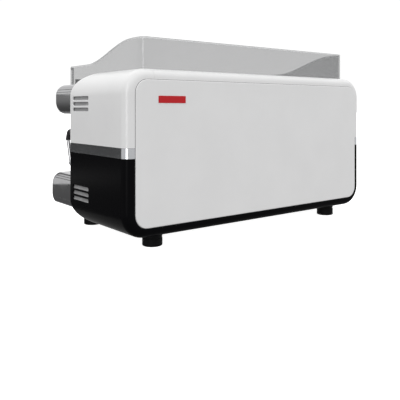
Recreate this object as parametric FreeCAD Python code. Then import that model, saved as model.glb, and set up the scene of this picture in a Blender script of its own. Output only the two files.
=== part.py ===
"""Three-group bar espresso machine. Millimetres, +Z up, -Y is the barista's side.

The origin is on the counter, under the middle of the machine.
"""

import FreeCAD, Part
import math
import os

os.makedirs("parts", exist_ok=True)
V = FreeCAD.Vector

# --- Driving dimensions -----------------------------------------------------
WIDTH = 1000.0            # over the side covers
FOOT_HEIGHT = 36.0        # counter to the underside of the body
BODY_TOP = 497.0          # top of the side covers
BODY_FRONT = -51.0        # front edge of the side covers
BODY_REAR = 286.0         # rear plane of the covers
CORNER_R = 70.0           # big outer corners of the covers
RIM_R = 24.0              # rounding round the rear rim
SKIN = 2.5                # cover wall
SEAM = 0.4                # half of the gap between two covers

PANEL_HALF = 468.5        # rear panel half width
PANEL_Z = (65.0, 467.0)
PANEL_R = 38.0
PANEL_PROUD = 3.0
PANEL_OVERLAP = 6.5       # how far the panel laps over the covers
BADGE_THICK = 1.2
DEPTH_HALF = BODY_REAR + PANEL_PROUD + BADGE_THICK

BAND_Z = (254.2, 282.2)   # bright band between upper and lower covers
RAIL_HALF = 409.0         # the rear rails end here, the side covers begin
VENT_Y = (-32.0, 73.0)
VENT_PITCH = 17.0
VENT_HEIGHT = 10.5
VENT_CENTRES = (402.0, 133.0)

WELL_HALF = 437.0         # opening in the top for the cup tray
WELL_REAR = 264.0
TRAY_FLOOR = 468.0        # top of the cup tray
TRAY_FRONT = -186.0

GUARD_HALF = 435.0        # clear guard round the cup tray
GUARD_REAR = 262.0
GUARD_FRONT = -198.0
GUARD_WALL = 5.0
GUARD_R = 26.0
GUARD_TOP = 586.0
GUARD_LOW = 529.0
GUARD_SLOPE = (206.0, -64.0)

CONSOLE_HALF = 490.0
CONSOLE_CAP = 26.0        # solid round-edged ends of the console
CONSOLE_CAP_R = 8.0
CONSOLE_FRONT = -190.0
CONSOLE_BACK = -40.6      # reaches back into notches in the covers
CONSOLE_Z = (370.6, 463.4)
CONSOLE_SOFT = 64.0
TRIM_HEIGHT = 6.5

GAUGE_Z = 417.0
GAUGES = {                # name: centre X, collar, bezel and dial radii
    "left": (-56.7, 23.3, 20.2, 16.6),
    "centre": (0.0, 29.0, 25.5, 21.3),
    "right": (56.7, 23.3, 20.2, 16.6),
}
SMALL_ZERO = 213.0        # needle angle at rest, anticlockwise from +X
CENTRE_ZERO = 180.0

GROUPS = {"left": -250.0, "centre": 0.0, "right": 250.0}
GROUP_Y = -100.0
COLLAR_R = 50.0
COLLAR_Z = (300.0, 330.0)
MOUTH_R = 35.2
GROOVE_R = 41.5
FILTER_R = 34.6
HANDLE_TILT = 7.0
HANDLE_Z = 289.0

SPLASH_Y = (8.0, 10.0)
SIDES = {"right": 1, "left": -1}
WAND_X = 450.0
WAND_BALL = (-122.0, 300.0)
BALL_R = 12.0
WAND_R = 5.5
KNOB_X = 400.0
WATER_X = 352.0
WATER_Y = -96.0
WATER_KNOB_X = 310.0
SWITCH_X = -310.0

TRAY_HALF = 490.0
TRAY_NOSE = -220.0
TRAY_BACK = -45.0
TRAY_CAP = 28.0           # round-edged ends of the tray surround
TRAY_CAP_R = 8.0
TRAY_Z = (78.0, 183.0)
GRATE_Z = (172.0, 180.0)
GRATE_Y = (-172.0, -4.0)
GRATE_HALF = 454.0
DRAIN_Y = -90.0

RAIL_X = 376.0
FEET_Y = (225.0, -145.0)
FOOT_R = 29.0
PAN_Z = (62.0, 64.0)
INLET = (-250.0, 220.0)
GLAND = (-300.0, 220.0)


# --- Helpers ----------------------------------------------------------------
def on_xz(y):
    """Drawing plane facing the front, at y."""
    return lambda a, b: V(a, y, b)


def on_yz(x):
    """Drawing plane facing the side, at x."""
    return lambda a, b: V(x, a, b)


def on_xy(z):
    """Drawing plane facing up, at z."""
    return lambda a, b: V(a, b, z)


def arc_corner(before, here, after, radius):
    """Start, end and edge of a circular corner."""
    to_before = (before - here).normalize()
    to_after = (after - here).normalize()
    half = to_before.getAngle(to_after) / 2
    start = here + to_before * (radius / math.tan(half))
    end = here + to_after * (radius / math.tan(half))
    bisector = (to_before + to_after).normalize()
    middle = here + bisector * (radius / math.sin(half) - radius)
    return start, end, Part.Arc(start, middle, end).toShape()


def soft_corner(before, here, after, reach):
    """Start, end and edge of an elliptical corner that begins and ends at its two reaches."""
    start = here + (before - here).normalize() * reach[0]
    end = here + (after - here).normalize() * reach[1]
    fullness = 0.5523
    curve = Part.BezierCurve()
    curve.setPoles([start, start + (here - start) * fullness, end + (here - end) * fullness, end])
    return start, end, curve.toShape()


def outline(corners, plane):
    """Closed face through (a, b, rounding) corners. A rounding is 0, a radius or two reaches."""
    points = [plane(a, b) for a, b, _ in corners]
    edges = []
    joins = []
    for i, (_, _, rounding) in enumerate(corners):
        before, here, after = points[i - 1], points[i], points[(i + 1) % len(points)]
        if rounding == 0:
            joins.append((here, here))
        else:
            make = soft_corner if isinstance(rounding, tuple) else arc_corner
            start, end, edge = make(before, here, after, rounding)
            joins.append((start, end))
            edges.append(edge)
    for i, (_, leave) in enumerate(joins):
        reach = joins[(i + 1) % len(joins)][0]
        if leave.distanceToPoint(reach) > 1e-6:
            edges.append(Part.makeLine(leave, reach))
    return Part.Face(Part.Wire(Part.__sortEdges__(edges)))


def rectangle(a0, a1, b0, b1, radius, plane):
    """Face of a rectangle with rounded corners."""
    return outline([(a0, b0, radius), (a1, b0, radius), (a1, b1, radius), (a0, b1, radius)], plane)


def box(x0, x1, y0, y1, z0, z1):
    return Part.makeBox(x1 - x0, y1 - y0, z1 - z0, V(x0, y0, z0))


def rod(start, end, radius):
    """Cylinder from one point to another."""
    start, end = V(*start), V(*end)
    return Part.makeCylinder(radius, (end - start).Length, start, end - start)


def ring(start, end, outer, inner):
    return rod(start, end, outer).cut(rod(start, end, inner))


def turned(profile, origin, axis):
    """Solid turned round an axis from (radius, distance along) points."""
    points = [V(r, 0, h) for r, h in profile]
    face = Part.Face(Part.makePolygon(points + points[:1]))
    solid = face.revolve(V(0, 0, 0), V(0, 0, 1), 360)
    solid.Placement = FreeCAD.Placement(V(*origin), FreeCAD.Rotation(V(0, 0, 1), V(*axis)))
    return solid


def bent_rod(points, radii, radius):
    """Round bar along straight runs joined by tangent arcs."""
    points = [V(*p) for p in points]
    edges = []
    last = points[0]
    for i in range(1, len(points) - 1):
        start, end, edge = arc_corner(points[i - 1], points[i], points[i + 1], radii[i - 1])
        edges.append(Part.makeLine(last, start))
        edges.append(edge)
        last = end
    edges.append(Part.makeLine(last, points[-1]))
    path = Part.Wire(edges)
    section = Part.Wire(Part.makeCircle(radius, points[0], points[1] - points[0]))
    return path.makePipeShell([section], True, False)


def hole_row(make, centres):
    """One tool for several holes."""
    return Part.makeCompound([make(c) for c in centres])


def quarters(shape, x, y):
    """A ring round (x, y) in four sectors that meet on its diagonals."""
    far = 100.0
    sectors = []
    for k in range(4):
        turns = [math.radians(90 * k + 45 * side) for side in (-1, 1)]
        ends = [V(x + far * math.cos(t), y + far * math.sin(t), 0) for t in turns]
        wedge = Part.Face(Part.makePolygon([V(x, y, 0), *ends, V(x, y, 0)])).extrude(V(0, 0, 500))
        sectors += shape.common(wedge).Solids
    return sectors


def mirrored(shape):
    return shape.mirror(V(0, 0, 0), V(1, 0, 0))


def both_sides(shape):
    return [shape, mirrored(shape)]


def save(name, *solids):
    """Writes one STEP file for a node of one or more solids."""
    shape = solids[0] if len(solids) == 1 else Part.makeCompound(list(solids))
    shape.exportStep("parts/" + name + ".step")


# --- Covers -----------------------------------------------------------------
def body_block(inset):
    """The body's outer form, or the same form a wall thickness smaller."""
    half = WIDTH / 2 - inset
    low, high = FOOT_HEIGHT + inset, BODY_TOP - inset
    front, rear = BODY_FRONT + inset, BODY_REAR - inset
    radius = CORNER_R - inset
    seen_from_rear = rectangle(-half, half, low, high, radius, on_xz(front))
    seen_from_rear = seen_from_rear.extrude(V(0, rear - front, 0))
    corners = [(front, low, radius), (rear, low, 0), (rear, high, 0), (front, high, radius)]
    seen_from_side = outline(corners, on_yz(-half)).extrude(V(2 * half, 0, 0))
    block = seen_from_rear.common(seen_from_side)
    rim = [e for e in block.Edges if all(abs(v.Y - rear) < 0.01 for v in e.Vertexes)]
    return block.makeFillet(RIM_R - inset, rim)


def cover_skin():
    """Thin shell of the body, open to the front, to the cup tray and behind the rear panel."""
    skin = body_block(0).cut(body_block(SKIN))
    lap = PANEL_HALF - PANEL_OVERLAP
    low, high = PANEL_Z[0] + PANEL_OVERLAP, PANEL_Z[1] - PANEL_OVERLAP
    rear_opening = rectangle(-lap, lap, low, high, PANEL_R - PANEL_OVERLAP, on_xz(WELL_REAR))
    front_half = WIDTH / 2 - 14
    notch_half, gap = CONSOLE_HALF + 0.5, 0.4
    openings = [
        rear_opening.extrude(V(0, 60, 0)),
        box(-notch_half, notch_half, BODY_FRONT - 1, CONSOLE_BACK + gap,
            CONSOLE_Z[0] - gap, CONSOLE_Z[1] + gap),
        box(-notch_half, notch_half, BODY_FRONT - 1, TRAY_BACK + gap, TRAY_Z[0] - gap, TRAY_Z[1] + gap),
        box(-front_half, front_half, BODY_FRONT - 1, BODY_FRONT + SKIN + 1, 0, 600),
        box(-WELL_HALF, WELL_HALF, BODY_FRONT - 1, WELL_REAR, 300, 600),
        box(-RAIL_HALF, RAIL_HALF, BODY_FRONT - 1, WELL_REAR, 0, 200),
    ]
    return skin.cut(Part.makeCompound(openings))


def vent(z):
    """Rounded slot through the right side cover."""
    r = VENT_HEIGHT / 2 - 0.05
    slot = rectangle(VENT_Y[0], VENT_Y[1], z - VENT_HEIGHT / 2, z + VENT_HEIGHT / 2, r, on_yz(480))
    return slot.extrude(V(40, 0, 0))


def make_covers():
    skin = cover_skin()
    vents = [vent(c + k * VENT_PITCH) for c in VENT_CENTRES for k in (-1, 0, 1)]
    far = WIDTH
    edge = RAIL_HALF + SEAM / 2
    upper = skin.common(box(edge, far, -far, far, BAND_Z[1] + SEAM, far))
    lower = skin.common(box(edge, far, -far, far, 0, BAND_Z[0] - SEAM))
    band = skin.common(box(edge, far, -far, far, *BAND_Z))
    upper = upper.cut(Part.makeCompound(vents))
    lower = lower.cut(Part.makeCompound(vents))
    for name, shape in (("upper", upper), ("lower", lower)):
        save("side_cover_" + name + "_right", shape.Solids[0])
        save("side_cover_" + name + "_left", mirrored(shape.Solids[0]))
    save("side_bands", *both_sides(band.Solids[0]))
    inner = RAIL_HALF - SEAM / 2
    save("top_rear_rail", skin.common(box(-inner, inner, 200, far, 300, far)).Solids[0])
    save("bottom_rear_rail", skin.common(box(-inner, inner, 200, far, 0, 300)).Solids[0])


def make_rear_panel():
    plate = rectangle(-PANEL_HALF, PANEL_HALF, *PANEL_Z, PANEL_R, on_xz(BODY_REAR))
    plate = plate.extrude(V(0, PANEL_PROUD, 0))
    face_y = BODY_REAR + PANEL_PROUD
    rim = [e for e in plate.Edges if all(abs(v.Y - face_y) < 0.01 for v in e.Vertexes)]
    plate = plate.makeFillet(2.0, rim)
    inset = PANEL_OVERLAP + 2
    lip_z = (PANEL_Z[0] + inset, PANEL_Z[1] - inset)
    lip = rectangle(inset - PANEL_HALF, PANEL_HALF - inset, *lip_z, PANEL_R - inset, on_xz(274))
    wall = 2.0
    hollow = rectangle(inset - PANEL_HALF + wall, PANEL_HALF - inset - wall, lip_z[0] + wall,
                       lip_z[1] - wall, PANEL_R - inset - wall, on_xz(273))
    lip = lip.extrude(V(0, BODY_REAR - 274, 0)).cut(hollow.extrude(V(0, BODY_REAR - 273, 0)))
    save("rear_panel", plate.fuse(lip).removeSplitter())
    badge = rectangle(305.7, 397.3, 403, 423, 1.5, on_xz(face_y)).extrude(V(0, BADGE_THICK, 0))
    save("rear_badge", badge)


def make_vent_screens():
    """Perforated plates behind the side vents."""
    plates = []
    for centre in VENT_CENTRES:
        reach = VENT_PITCH + VENT_HEIGHT - 3
        x = WIDTH / 2 - SKIN
        plates += both_sides(box(x - 1, x, VENT_Y[0] - 6, VENT_Y[1] + 8, centre - reach, centre + reach))
    save("vent_screens", *plates)


def make_cover_screws():
    """Pan-head screws through the front flanges of the covers."""
    screws = []
    for z in (130, 235, 300, 352):
        profile = [(0, 0), (4, 0), (4, 1.2), (2.8, 2.4), (0, 2.4)]
        screws += both_sides(turned(profile, (494.6, BODY_FRONT, z), (0, -1, 0)))
    save("cover_screws", *screws)


# --- Frame and base ---------------------------------------------------------
def hollow_bar(x0, x1, y0, y1, z0, z1):
    """Capped box-section bar."""
    wall = SKIN
    return box(x0, x1, y0, y1, z0, z1).cut(
        box(x0 + wall, x1 - wall, y0 + wall, y1 - wall, z0 + wall, z1 - wall))


def make_base_frame():
    rail_half = 15
    rail = hollow_bar(RAIL_X - rail_half, RAIL_X + rail_half, -175, 262, FOOT_HEIGHT, PAN_Z[0])
    for y in FEET_Y:
        rail = rail.cut(rod((RAIL_X, y, 30), (RAIL_X, y, 45), 5.6))
    inner = RAIL_X - rail_half
    cross = [hollow_bar(-inner, inner, y - 12, y + 12, FOOT_HEIGHT, PAN_Z[0]) for y in (250, 40, -163)]
    carriers = both_sides(hollow_bar(RAIL_X - rail_half, RAIL_X + rail_half, -170, -60,
                                     PAN_Z[0], TRAY_Z[0]))
    save("base_frame", *both_sides(rail), *cross, *carriers)


def make_base_pan():
    pan = box(-RAIL_HALF, RAIL_HALF, BODY_FRONT + 4, 262, *PAN_Z)
    holes = [rod((*at, 60), (*at, 66), r) for at, r in ((GLAND, 10.2), (INLET, 8.5))]
    save("base_pan", pan.cut(Part.makeCompound(holes)))


def make_upper_frame():
    """Four posts and the bars that carry the cup tray."""
    top = TRAY_FLOOR - 2
    bar = 25
    outer = 400
    posts = []
    for y in (14, 234):
        posts += both_sides(hollow_bar(outer - bar, outer, y, y + bar, PAN_Z[1], top - bar))
    sides = both_sides(hollow_bar(outer - bar, outer, 14, 234 + bar, top - bar, top))
    across = [hollow_bar(bar - outer, outer - bar, y, y + bar, top - bar, top) for y in (14, 234)]
    save("upper_frame", *posts, *sides, *across)


def make_feet():
    profile = [(0, 0), (26, 0), (28.2, 0.8), (FOOT_R, 3), (FOOT_R, 33), (27.5, FOOT_HEIGHT),
               (5, FOOT_HEIGHT), (5, 50), (0, 50)]
    feet = []
    for y in FEET_Y:
        feet += both_sides(turned(profile, (RAIL_X, y, 0), (0, 0, 1)))
    save("feet", *feet)


# --- Cup tray and guard -----------------------------------------------------
def make_cup_tray():
    half = WELL_HALF - 1
    floor = box(-half, half, TRAY_FRONT, GUARD_REAR, TRAY_FLOOR - 2, TRAY_FLOOR)
    slots = []
    for column in range(-7, 8):
        for y in (-120, -20, 80, 180):
            slot = rectangle(column * 52 - 3, column * 52 + 3, y - 30, y + 30, 2.9, on_xy(TRAY_FLOOR - 3))
            slots.append(slot.extrude(V(0, 0, 4)))
    save("cup_tray", floor.cut(Part.makeCompound(slots)),
         box(-420, 420, TRAY_FRONT, TRAY_FRONT + 3, TRAY_FLOOR, TRAY_FLOOR + 19))


def guard_side_outline():
    """Side view of the guard: level at the rear, an S down to the level front."""
    rear, front = GUARD_SLOPE
    third = (rear - front) / 3
    slope = Part.BezierCurve()
    slope.setPoles([V(0, rear, GUARD_TOP), V(0, rear - third, GUARD_TOP),
                    V(0, front + third, GUARD_LOW), V(0, front, GUARD_LOW)])
    nose = 10.0
    nose_end = V(0, GUARD_FRONT, GUARD_LOW - nose)
    nose_start = V(0, GUARD_FRONT + nose, GUARD_LOW)
    middle = V(0, GUARD_FRONT + nose * (1 - math.sqrt(0.5)), GUARD_LOW - nose * (1 - math.sqrt(0.5)))
    base_front = V(0, GUARD_FRONT, TRAY_FLOOR)
    base_rear = V(0, GUARD_REAR, TRAY_FLOOR)
    top_rear = V(0, GUARD_REAR, GUARD_TOP)
    edges = [
        Part.makeLine(base_front, base_rear),
        Part.makeLine(base_rear, top_rear),
        Part.makeLine(top_rear, V(0, rear, GUARD_TOP)),
        slope.toShape(),
        Part.makeLine(V(0, front, GUARD_LOW), nose_start),
        Part.Arc(nose_start, middle, nose_end).toShape(),
        Part.makeLine(nose_end, base_front),
    ]
    return Part.Face(Part.Wire(edges))


def make_cup_guard():
    """Clear U-shaped wall, 5 mm thick, with short returns at its front edges.

    It is bonded from nine panels: the returns, the sides, two halves of each rear corner and the rear.
    """
    plane = on_xy(TRAY_FLOOR)
    inner = GUARD_HALF - GUARD_WALL
    return_x = GUARD_HALF - 13
    front = GUARD_FRONT
    nose = 9.0
    outer_face = outline([(-GUARD_HALF, front, nose), (GUARD_HALF, front, nose),
                          (GUARD_HALF, GUARD_REAR, GUARD_R), (-GUARD_HALF, GUARD_REAR, GUARD_R)], plane)
    inner_face = outline([(-inner, front + GUARD_WALL, nose - GUARD_WALL),
                          (inner, front + GUARD_WALL, nose - GUARD_WALL),
                          (inner, GUARD_REAR - GUARD_WALL, GUARD_R - GUARD_WALL),
                          (-inner, GUARD_REAR - GUARD_WALL, GUARD_R - GUARD_WALL)], plane)
    height = V(0, 0, GUARD_TOP - TRAY_FLOOR)
    wall = outer_face.extrude(height).cut(inner_face.extrude(height))
    wall = wall.cut(box(-return_x, return_x, front - 1, front + GUARD_WALL + 1, 400, 600))
    side = guard_side_outline()
    side.translate(V(-GUARD_HALF - 1, 0, 0))
    guard = wall.common(side.extrude(V(2 * GUARD_HALF + 2, 0, 0)))
    turn = V(GUARD_HALF - GUARD_R, GUARD_REAR - GUARD_R, 0)
    corner = box(turn.x, GUARD_HALF, turn.y, GUARD_REAR, 400, 600)
    bevel = Part.Face(Part.makePolygon([turn, turn + V(60, 60, 0), turn + V(60, 0, 0), turn]))
    bevel = bevel.extrude(V(0, 0, 600))
    return_end = front + nose
    right = [guard.common(box(0, GUARD_HALF, front, return_end, 400, 600)),
             guard.common(box(0, GUARD_HALF, return_end, turn.y, 400, 600)),
             guard.common(corner).common(bevel),
             guard.common(corner).cut(bevel)]
    panels = [solid for panel in right for solid in both_sides(panel.Solids[0])]
    rear = guard.common(box(-turn.x, turn.x, turn.y, GUARD_REAR, 400, 600)).Solids[0]
    save("cup_guard", *panels, rear)


# --- Console ----------------------------------------------------------------
def console_face(inset, x):
    """Side view of the console: flat back, top and bottom, bulging front."""
    soft = CONSOLE_SOFT - inset
    low, high = CONSOLE_Z[0] + inset, CONSOLE_Z[1] - inset
    front = CONSOLE_FRONT + inset
    corners = [(CONSOLE_BACK, low, 0), (CONSOLE_BACK, high, 0),
               (front, high, (soft, 32 - inset)), (front, low, (40 - inset, soft))]
    return outline(corners, on_yz(x))


def gauge_cut(extra):
    """Tool that opens the console front for the gauges."""
    return [rod((x, -200, GAUGE_Z), (x, -150, GAUGE_Z), dial + extra)
            for x, _, _, dial in GAUGES.values()]


def make_console():
    half = CONSOLE_HALF - CONSOLE_CAP
    whole = console_face(0, -half).extrude(V(2 * half, 0, 0))
    wall = 2.5
    hollow = console_face(wall, -half).extrude(V(2 * half, 0, 0))
    shell = whole.cut(hollow)
    rebate = 1.4
    veneer = whole.cut(console_face(rebate, -half).extrude(V(2 * half, 0, 0)))
    far = WIDTH
    flat_end = CONSOLE_FRONT + CONSOLE_SOFT
    low, high = CONSOLE_Z
    trims = [veneer.common(box(-far, far, -far, flat_end, low - 1, low + TRIM_HEIGHT)),
             veneer.common(box(-far, far, -far, flat_end, high - TRIM_HEIGHT, high + 1))]
    holes = gauge_cut(1.5)
    for x in (KNOB_X, -KNOB_X, WATER_KNOB_X, SWITCH_X):
        holes.append(rod((x, -200, GAUGE_Z), (x, -150, GAUGE_Z), 7.0))
    save("console_panel", shell.cut(Part.makeCompound(trims + holes)))
    save("console_trims", *trims)
    cap = console_face(0, half).extrude(V(CONSOLE_CAP, 0, 0))
    outer = [e for e in cap.Edges if all(abs(v.X - CONSOLE_HALF) < 0.01 for v in e.Vertexes)
             and not all(abs(v.Y - CONSOLE_BACK) < 0.01 for v in e.Vertexes)]
    save("console_end_caps", *both_sides(cap.makeFillet(CONSOLE_CAP_R, outer)))


def make_gauges():
    """Pressure gauges: a can with its collar and bezel, a dial, a lens and a needle."""
    bodies, dials, lenses = [], [], []
    front = -CONSOLE_FRONT
    for name, (x, collar, bezel, dial) in GAUGES.items():
        profile = [(0, front - 32), (dial + 1.2, front - 32), (dial + 1.2, front), (collar, front),
                   (collar, front + 2.5), (collar - 1.5, front + 4), (bezel + 0.6, front + 4),
                   (bezel, front + 5), (bezel, front + 10), (bezel - 1.4, front + 12),
                   (dial + 0.8, front + 12), (dial, front + 9), (dial, front + 4), (0, front + 4)]
        bodies.append(turned(profile, (x, 0, GAUGE_Z), (0, -1, 0)))
        dials.append(rod((x, -front - 4, GAUGE_Z), (x, -front - 5, GAUGE_Z), dial - 0.1))
        lenses.append(rod((x, -front - 8.4, GAUGE_Z), (x, -front - 9.6, GAUGE_Z), dial - 0.1))
        make_needle(name, x, dial)
    save("gauge_bodies", *bodies)
    save("gauge_dials", *dials)
    save("gauge_lenses", *lenses)


def make_needle(name, x, dial):
    """Tapered pointer with a wedge tail and a hub, turned to its rest angle."""
    y = CONSOLE_FRONT - 6.4
    tip, tail = dial * 0.8, dial * 0.42
    pointer = Part.Face(Part.makePolygon([V(tip, y, 0), V(0, y, 0.75), V(-tail, y, 1.7),
                                          V(-tail, y, -1.7), V(0, y, -0.75), V(tip, y, 0)]))
    pointer = pointer.extrude(V(0, -0.4, 0))
    hub = rod((0, y + 0.6, 0), (0, y - 1.2, 0), 2.3)
    needle = pointer.fuse(hub).removeSplitter()
    angle = CENTRE_ZERO if name == "centre" else SMALL_ZERO
    needle.rotate(V(0, 0, 0), V(0, -1, 0), angle)
    needle.translate(V(x, 0, GAUGE_Z))
    save("gauge_needle_" + name, needle)


def make_knob(name, x):
    """Fluted valve knob on its stem."""
    front = -CONSOLE_FRONT
    profile = [(0, front - 12), (6.6, front - 12), (6.6, front + 3), (18, front + 3), (20, front + 5),
               (21, front + 24), (18, front + 28), (0, front + 28)]
    knob = turned(profile, (x, 0, GAUGE_Z), (0, -1, 0))
    flutes = []
    for k in range(8):
        turn = math.radians(45 * k + 22.5)
        fx, fz = x + 25.5 * math.cos(turn), GAUGE_Z + 25.5 * math.sin(turn)
        flutes.append(rod((fx, -front - 1, fz), (fx, -front - 29, fz), 7))
    save(name, knob.cut(Part.makeCompound(flutes)))


def make_power_switch():
    """Rotary mains switch with a bar grip."""
    x = SWITCH_X
    front = CONSOLE_FRONT
    switch = rod((x, front + 12, GAUGE_Z), (x, front - 3, GAUGE_Z), 6.6)
    switch = switch.fuse(rod((x, front - 3, GAUGE_Z), (x, front - 9, GAUGE_Z), 17))
    bar = rectangle(x - 5, x + 5, GAUGE_Z - 16, GAUGE_Z + 16, 4.5, on_xz(front - 9))
    save("power_switch", switch.fuse(bar.extrude(V(0, -12, 0))).removeSplitter())


# --- Brewing groups ---------------------------------------------------------
def make_groups():
    heads, collars, covers, gaskets, screens = [], [], [], [], []
    low, high = COLLAR_Z
    for name, x in GROUPS.items():
        at = (x, GROUP_Y)
        collar = turned([(MOUTH_R, 322), (MOUTH_R, 312), (GROOVE_R, 312), (GROOVE_R, 303),
                         (MOUTH_R, 303), (MOUTH_R, low), (COLLAR_R - 2, low), (COLLAR_R, low + 2),
                         (COLLAR_R, 322)], (*at, 0), (0, 0, 1))
        crown = turned([(0, 322), (COLLAR_R, 322), (COLLAR_R, high - 3), (COLLAR_R - 3, high), (0, high)],
                       (*at, 0), (0, 0, 1))
        neck = box(x - 28, x + 28, GROUP_Y - 20, 14, high, 362)
        flange = box(x - 40, x + 40, 14, 22, 318, 372)
        heads.append(crown.fuse(neck).fuse(flange).removeSplitter())
        entry = box(x - 43, x + 43, GROUP_Y - 8, GROUP_Y + 8, low - 1, 304)
        entry.rotate(V(x, GROUP_Y, 0), V(0, 0, 1), -45)
        collars += quarters(collar.cut(entry), *at)
        covers.append(group_cover(x))
        gaskets.append(ring((*at, 318.6), (*at, 322), 34.8, 29.5))
        screen = [(0, 314), (26, 314), (28.4, 316), (28.4, 322), (0, 322)]
        screens.append(turned(screen, (*at, 0), (0, 0, 1)))
        make_portafilter(name, x)
        make_brew_button(name, x)
    save("group_heads", *heads, *collars)
    save("group_covers", *covers)
    save("group_gaskets", *gaskets)
    save("shower_screens", *screens)


def group_cover(x):
    """Shroud over the neck of a group, open below and behind."""
    wide, wall = 52, 2.5
    low, high, front = 331.0, 369.6, -154.0
    outer = outline([(x - wide, front, 22), (x + wide, front, 22), (x + wide, 7.6, 0), (x - wide, 7.6, 0)],
                    on_xy(low)).extrude(V(0, 0, high - low))
    wide_in = wide - wall
    inner = outline([(x - wide_in, front + wall, 19.5), (x + wide_in, front + wall, 19.5),
                     (x + wide_in, 8, 0), (x - wide_in, 8, 0)], on_xy(low - 1))
    inner = inner.extrude(V(0, 0, high - low + 1 - wall))
    return outer.cut(inner).cut(rod((x, front - 1, 350), (x, front + 5, 350), 11))


def make_portafilter(name, x):
    """Filter holder with two lugs and a double spout, and its grip."""
    at = (x, GROUP_Y)
    bowl = turned([(0, 284), (20, 284), (29, 290), (FILTER_R, 296), (FILTER_R, 318.2), (30, 318.2),
                   (30, 298), (26, 294), (0, 294)], (*at, 0), (0, 0, 1))
    lugs = box(x - 40.5, x + 40.5, GROUP_Y - 6, GROUP_Y + 6, 304.5, 310.5)
    lugs = lugs.cut(rod((*at, 300), (*at, 316), 32)).common(rod((*at, 300), (*at, 316), 40.5))
    spout = rod((*at, 276), (*at, 284), 9)
    for side in (-1, 1):
        path = [(x, GROUP_Y, 276), (x + side * 16, GROUP_Y, 272), (x + side * 16, GROUP_Y, 260)]
        spout = spout.fuse(bent_rod(path, [4.5], 5))
    neck = rod((x, GROUP_Y - 24, HANDLE_Z), (x, GROUP_Y - 60, HANDLE_Z), 7)
    boss = rod((x, GROUP_Y - 24, HANDLE_Z), (x, GROUP_Y - 42, HANDLE_Z), 9)
    lower = turned_along_handle([(0, -4), (7, -4), (7, 22), (0, 22)], x)
    body = bowl.fuse([lugs, spout, boss, neck, lower])
    body = body.cut(rod((*at, 294), (*at, 319), 30).common(box(x - 40, x + 40, -140, -60, 298, 319)))
    body = body.removeSplitter()
    floor = box(x - 60, x + 60, GROUP_Y - 80, GROUP_Y + 60, 250, 298)
    save("portafilter_" + name, body.common(floor).Solids[0], *quarters(body.cut(floor), *at))
    length = 132.0
    grip = [(7.4, 0), (11, 0), (12, 4), (12.5, 20), (15, 60), (16.5, 100), (16, 118), (12, 128),
            (6, length), (0, length), (0, 22.4), (7.4, 22.4)]
    save("portafilter_handle_" + name, turned_along_handle(grip, x))


def turned_along_handle(profile, x):
    """Turned solid on the handle's axis, which droops a little towards the barista."""
    droop = math.radians(HANDLE_TILT)
    reach = (DEPTH_HALF + GROUP_Y - 58) - 132 * math.cos(droop) - 6 * math.sin(droop)
    start = (x, GROUP_Y - 58 - reach, HANDLE_Z)
    return turned(profile, start, (0, -math.cos(droop), -math.sin(droop)))


def make_brew_button(name, x):
    """Push button in the front of a group cover."""
    profile = [(0, 141), (12.5, 141), (12.5, 145), (10.5, 145), (10.5, 157.2), (9, 158.5), (0, 158.5)]
    save("brew_button_" + name, turned(profile, (x, 0, 350), (0, -1, 0)))


def make_splash_panel():
    panel = box(-WIDTH / 2 + 5, WIDTH / 2 - 5, *SPLASH_Y, 110, 440)
    holes = [box(x - 28.5, x + 28.5, 0, 20, COLLAR_Z[1] - 0.5, 362.5) for x in GROUPS.values()]
    save("splash_panel", panel.cut(Part.makeCompound(holes)))


# --- Steam and water outlets ------------------------------------------------
def make_outlet_valves():
    """Fixed bodies of the two steam joints and the hot water outlet."""
    y, z = WAND_BALL
    rear = SPLASH_Y[0]
    gap = 0.4
    body = rod((WAND_X, rear, z), (WAND_X, y + 8, z), 16)
    body = body.fuse(rod((WAND_X, rear, z), (WAND_X, rear - 8, z), 22))
    body = body.cut(Part.makeSphere(BALL_R + gap, V(WAND_X, y, z)))
    water = rod((WATER_X, rear, z), (WATER_X, WATER_Y - 14, z), 14)
    water = water.fuse(rod((WATER_X, rear, z), (WATER_X, rear - 8, z), 20))
    water = water.fuse(rod((WATER_X, WATER_Y, z), (WATER_X, WATER_Y, z - 18), 12)).removeSplitter()
    save("outlet_valves", *both_sides(body.removeSplitter()), water)


def make_wand():
    """Steam wand with its ball, a tall goose-neck and a four-hole tip."""
    y, z = WAND_BALL
    ball = Part.makeSphere(BALL_R, V(WAND_X, y, z))
    gap = 0.4
    lift = math.radians(20)
    ahead = (0, -math.cos(lift), math.sin(lift))
    nut = turned([(0, 6), (10.4, 6), (10.4, 18), (7, 22), (0, 22)], (WAND_X, y, z), ahead)
    nut = nut.cut(Part.makeSphere(BALL_R + gap, V(WAND_X, y, z)))
    start = (WAND_X, y - 14 * math.cos(lift), z + 14 * math.sin(lift))
    path = [start, (WAND_X, -166, z + 44 * math.tan(lift)), (WAND_X, -178, 286), (WAND_X, -156, 212)]
    tube = bent_rod(path, [12, 22], WAND_R)
    down = V(0, 34, -78).normalize()
    tip = turned([(0, -2), (WAND_R + 1.2, -2), (WAND_R + 1.2, 8), (3, 13), (0, 13)], path[-1], tuple(down))
    wand = nut.fuse([tube, tip]).removeSplitter()
    for side, sign in SIDES.items():
        save("wand_ball_" + side, ball if sign > 0 else mirrored(ball))
        save("steam_wand_" + side, wand if sign > 0 else mirrored(wand))


def make_hot_water_spout():
    z = WAND_BALL[1] - 18.4
    path = [(WATER_X, WATER_Y, z), (WATER_X, WATER_Y, z - 26), (WATER_X, WATER_Y - 34, z - 40),
            (WATER_X, WATER_Y - 34, z - 66)]
    pipe = bent_rod(path, [14, 14], 6)
    nut = rod((WATER_X, WATER_Y, z), (WATER_X, WATER_Y, z - 10), 11)
    nozzle = rod((WATER_X, WATER_Y - 34, z - 62), (WATER_X, WATER_Y - 34, z - 74), 8)
    save("hot_water_spout", pipe.fuse([nut, nozzle]).removeSplitter())


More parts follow.
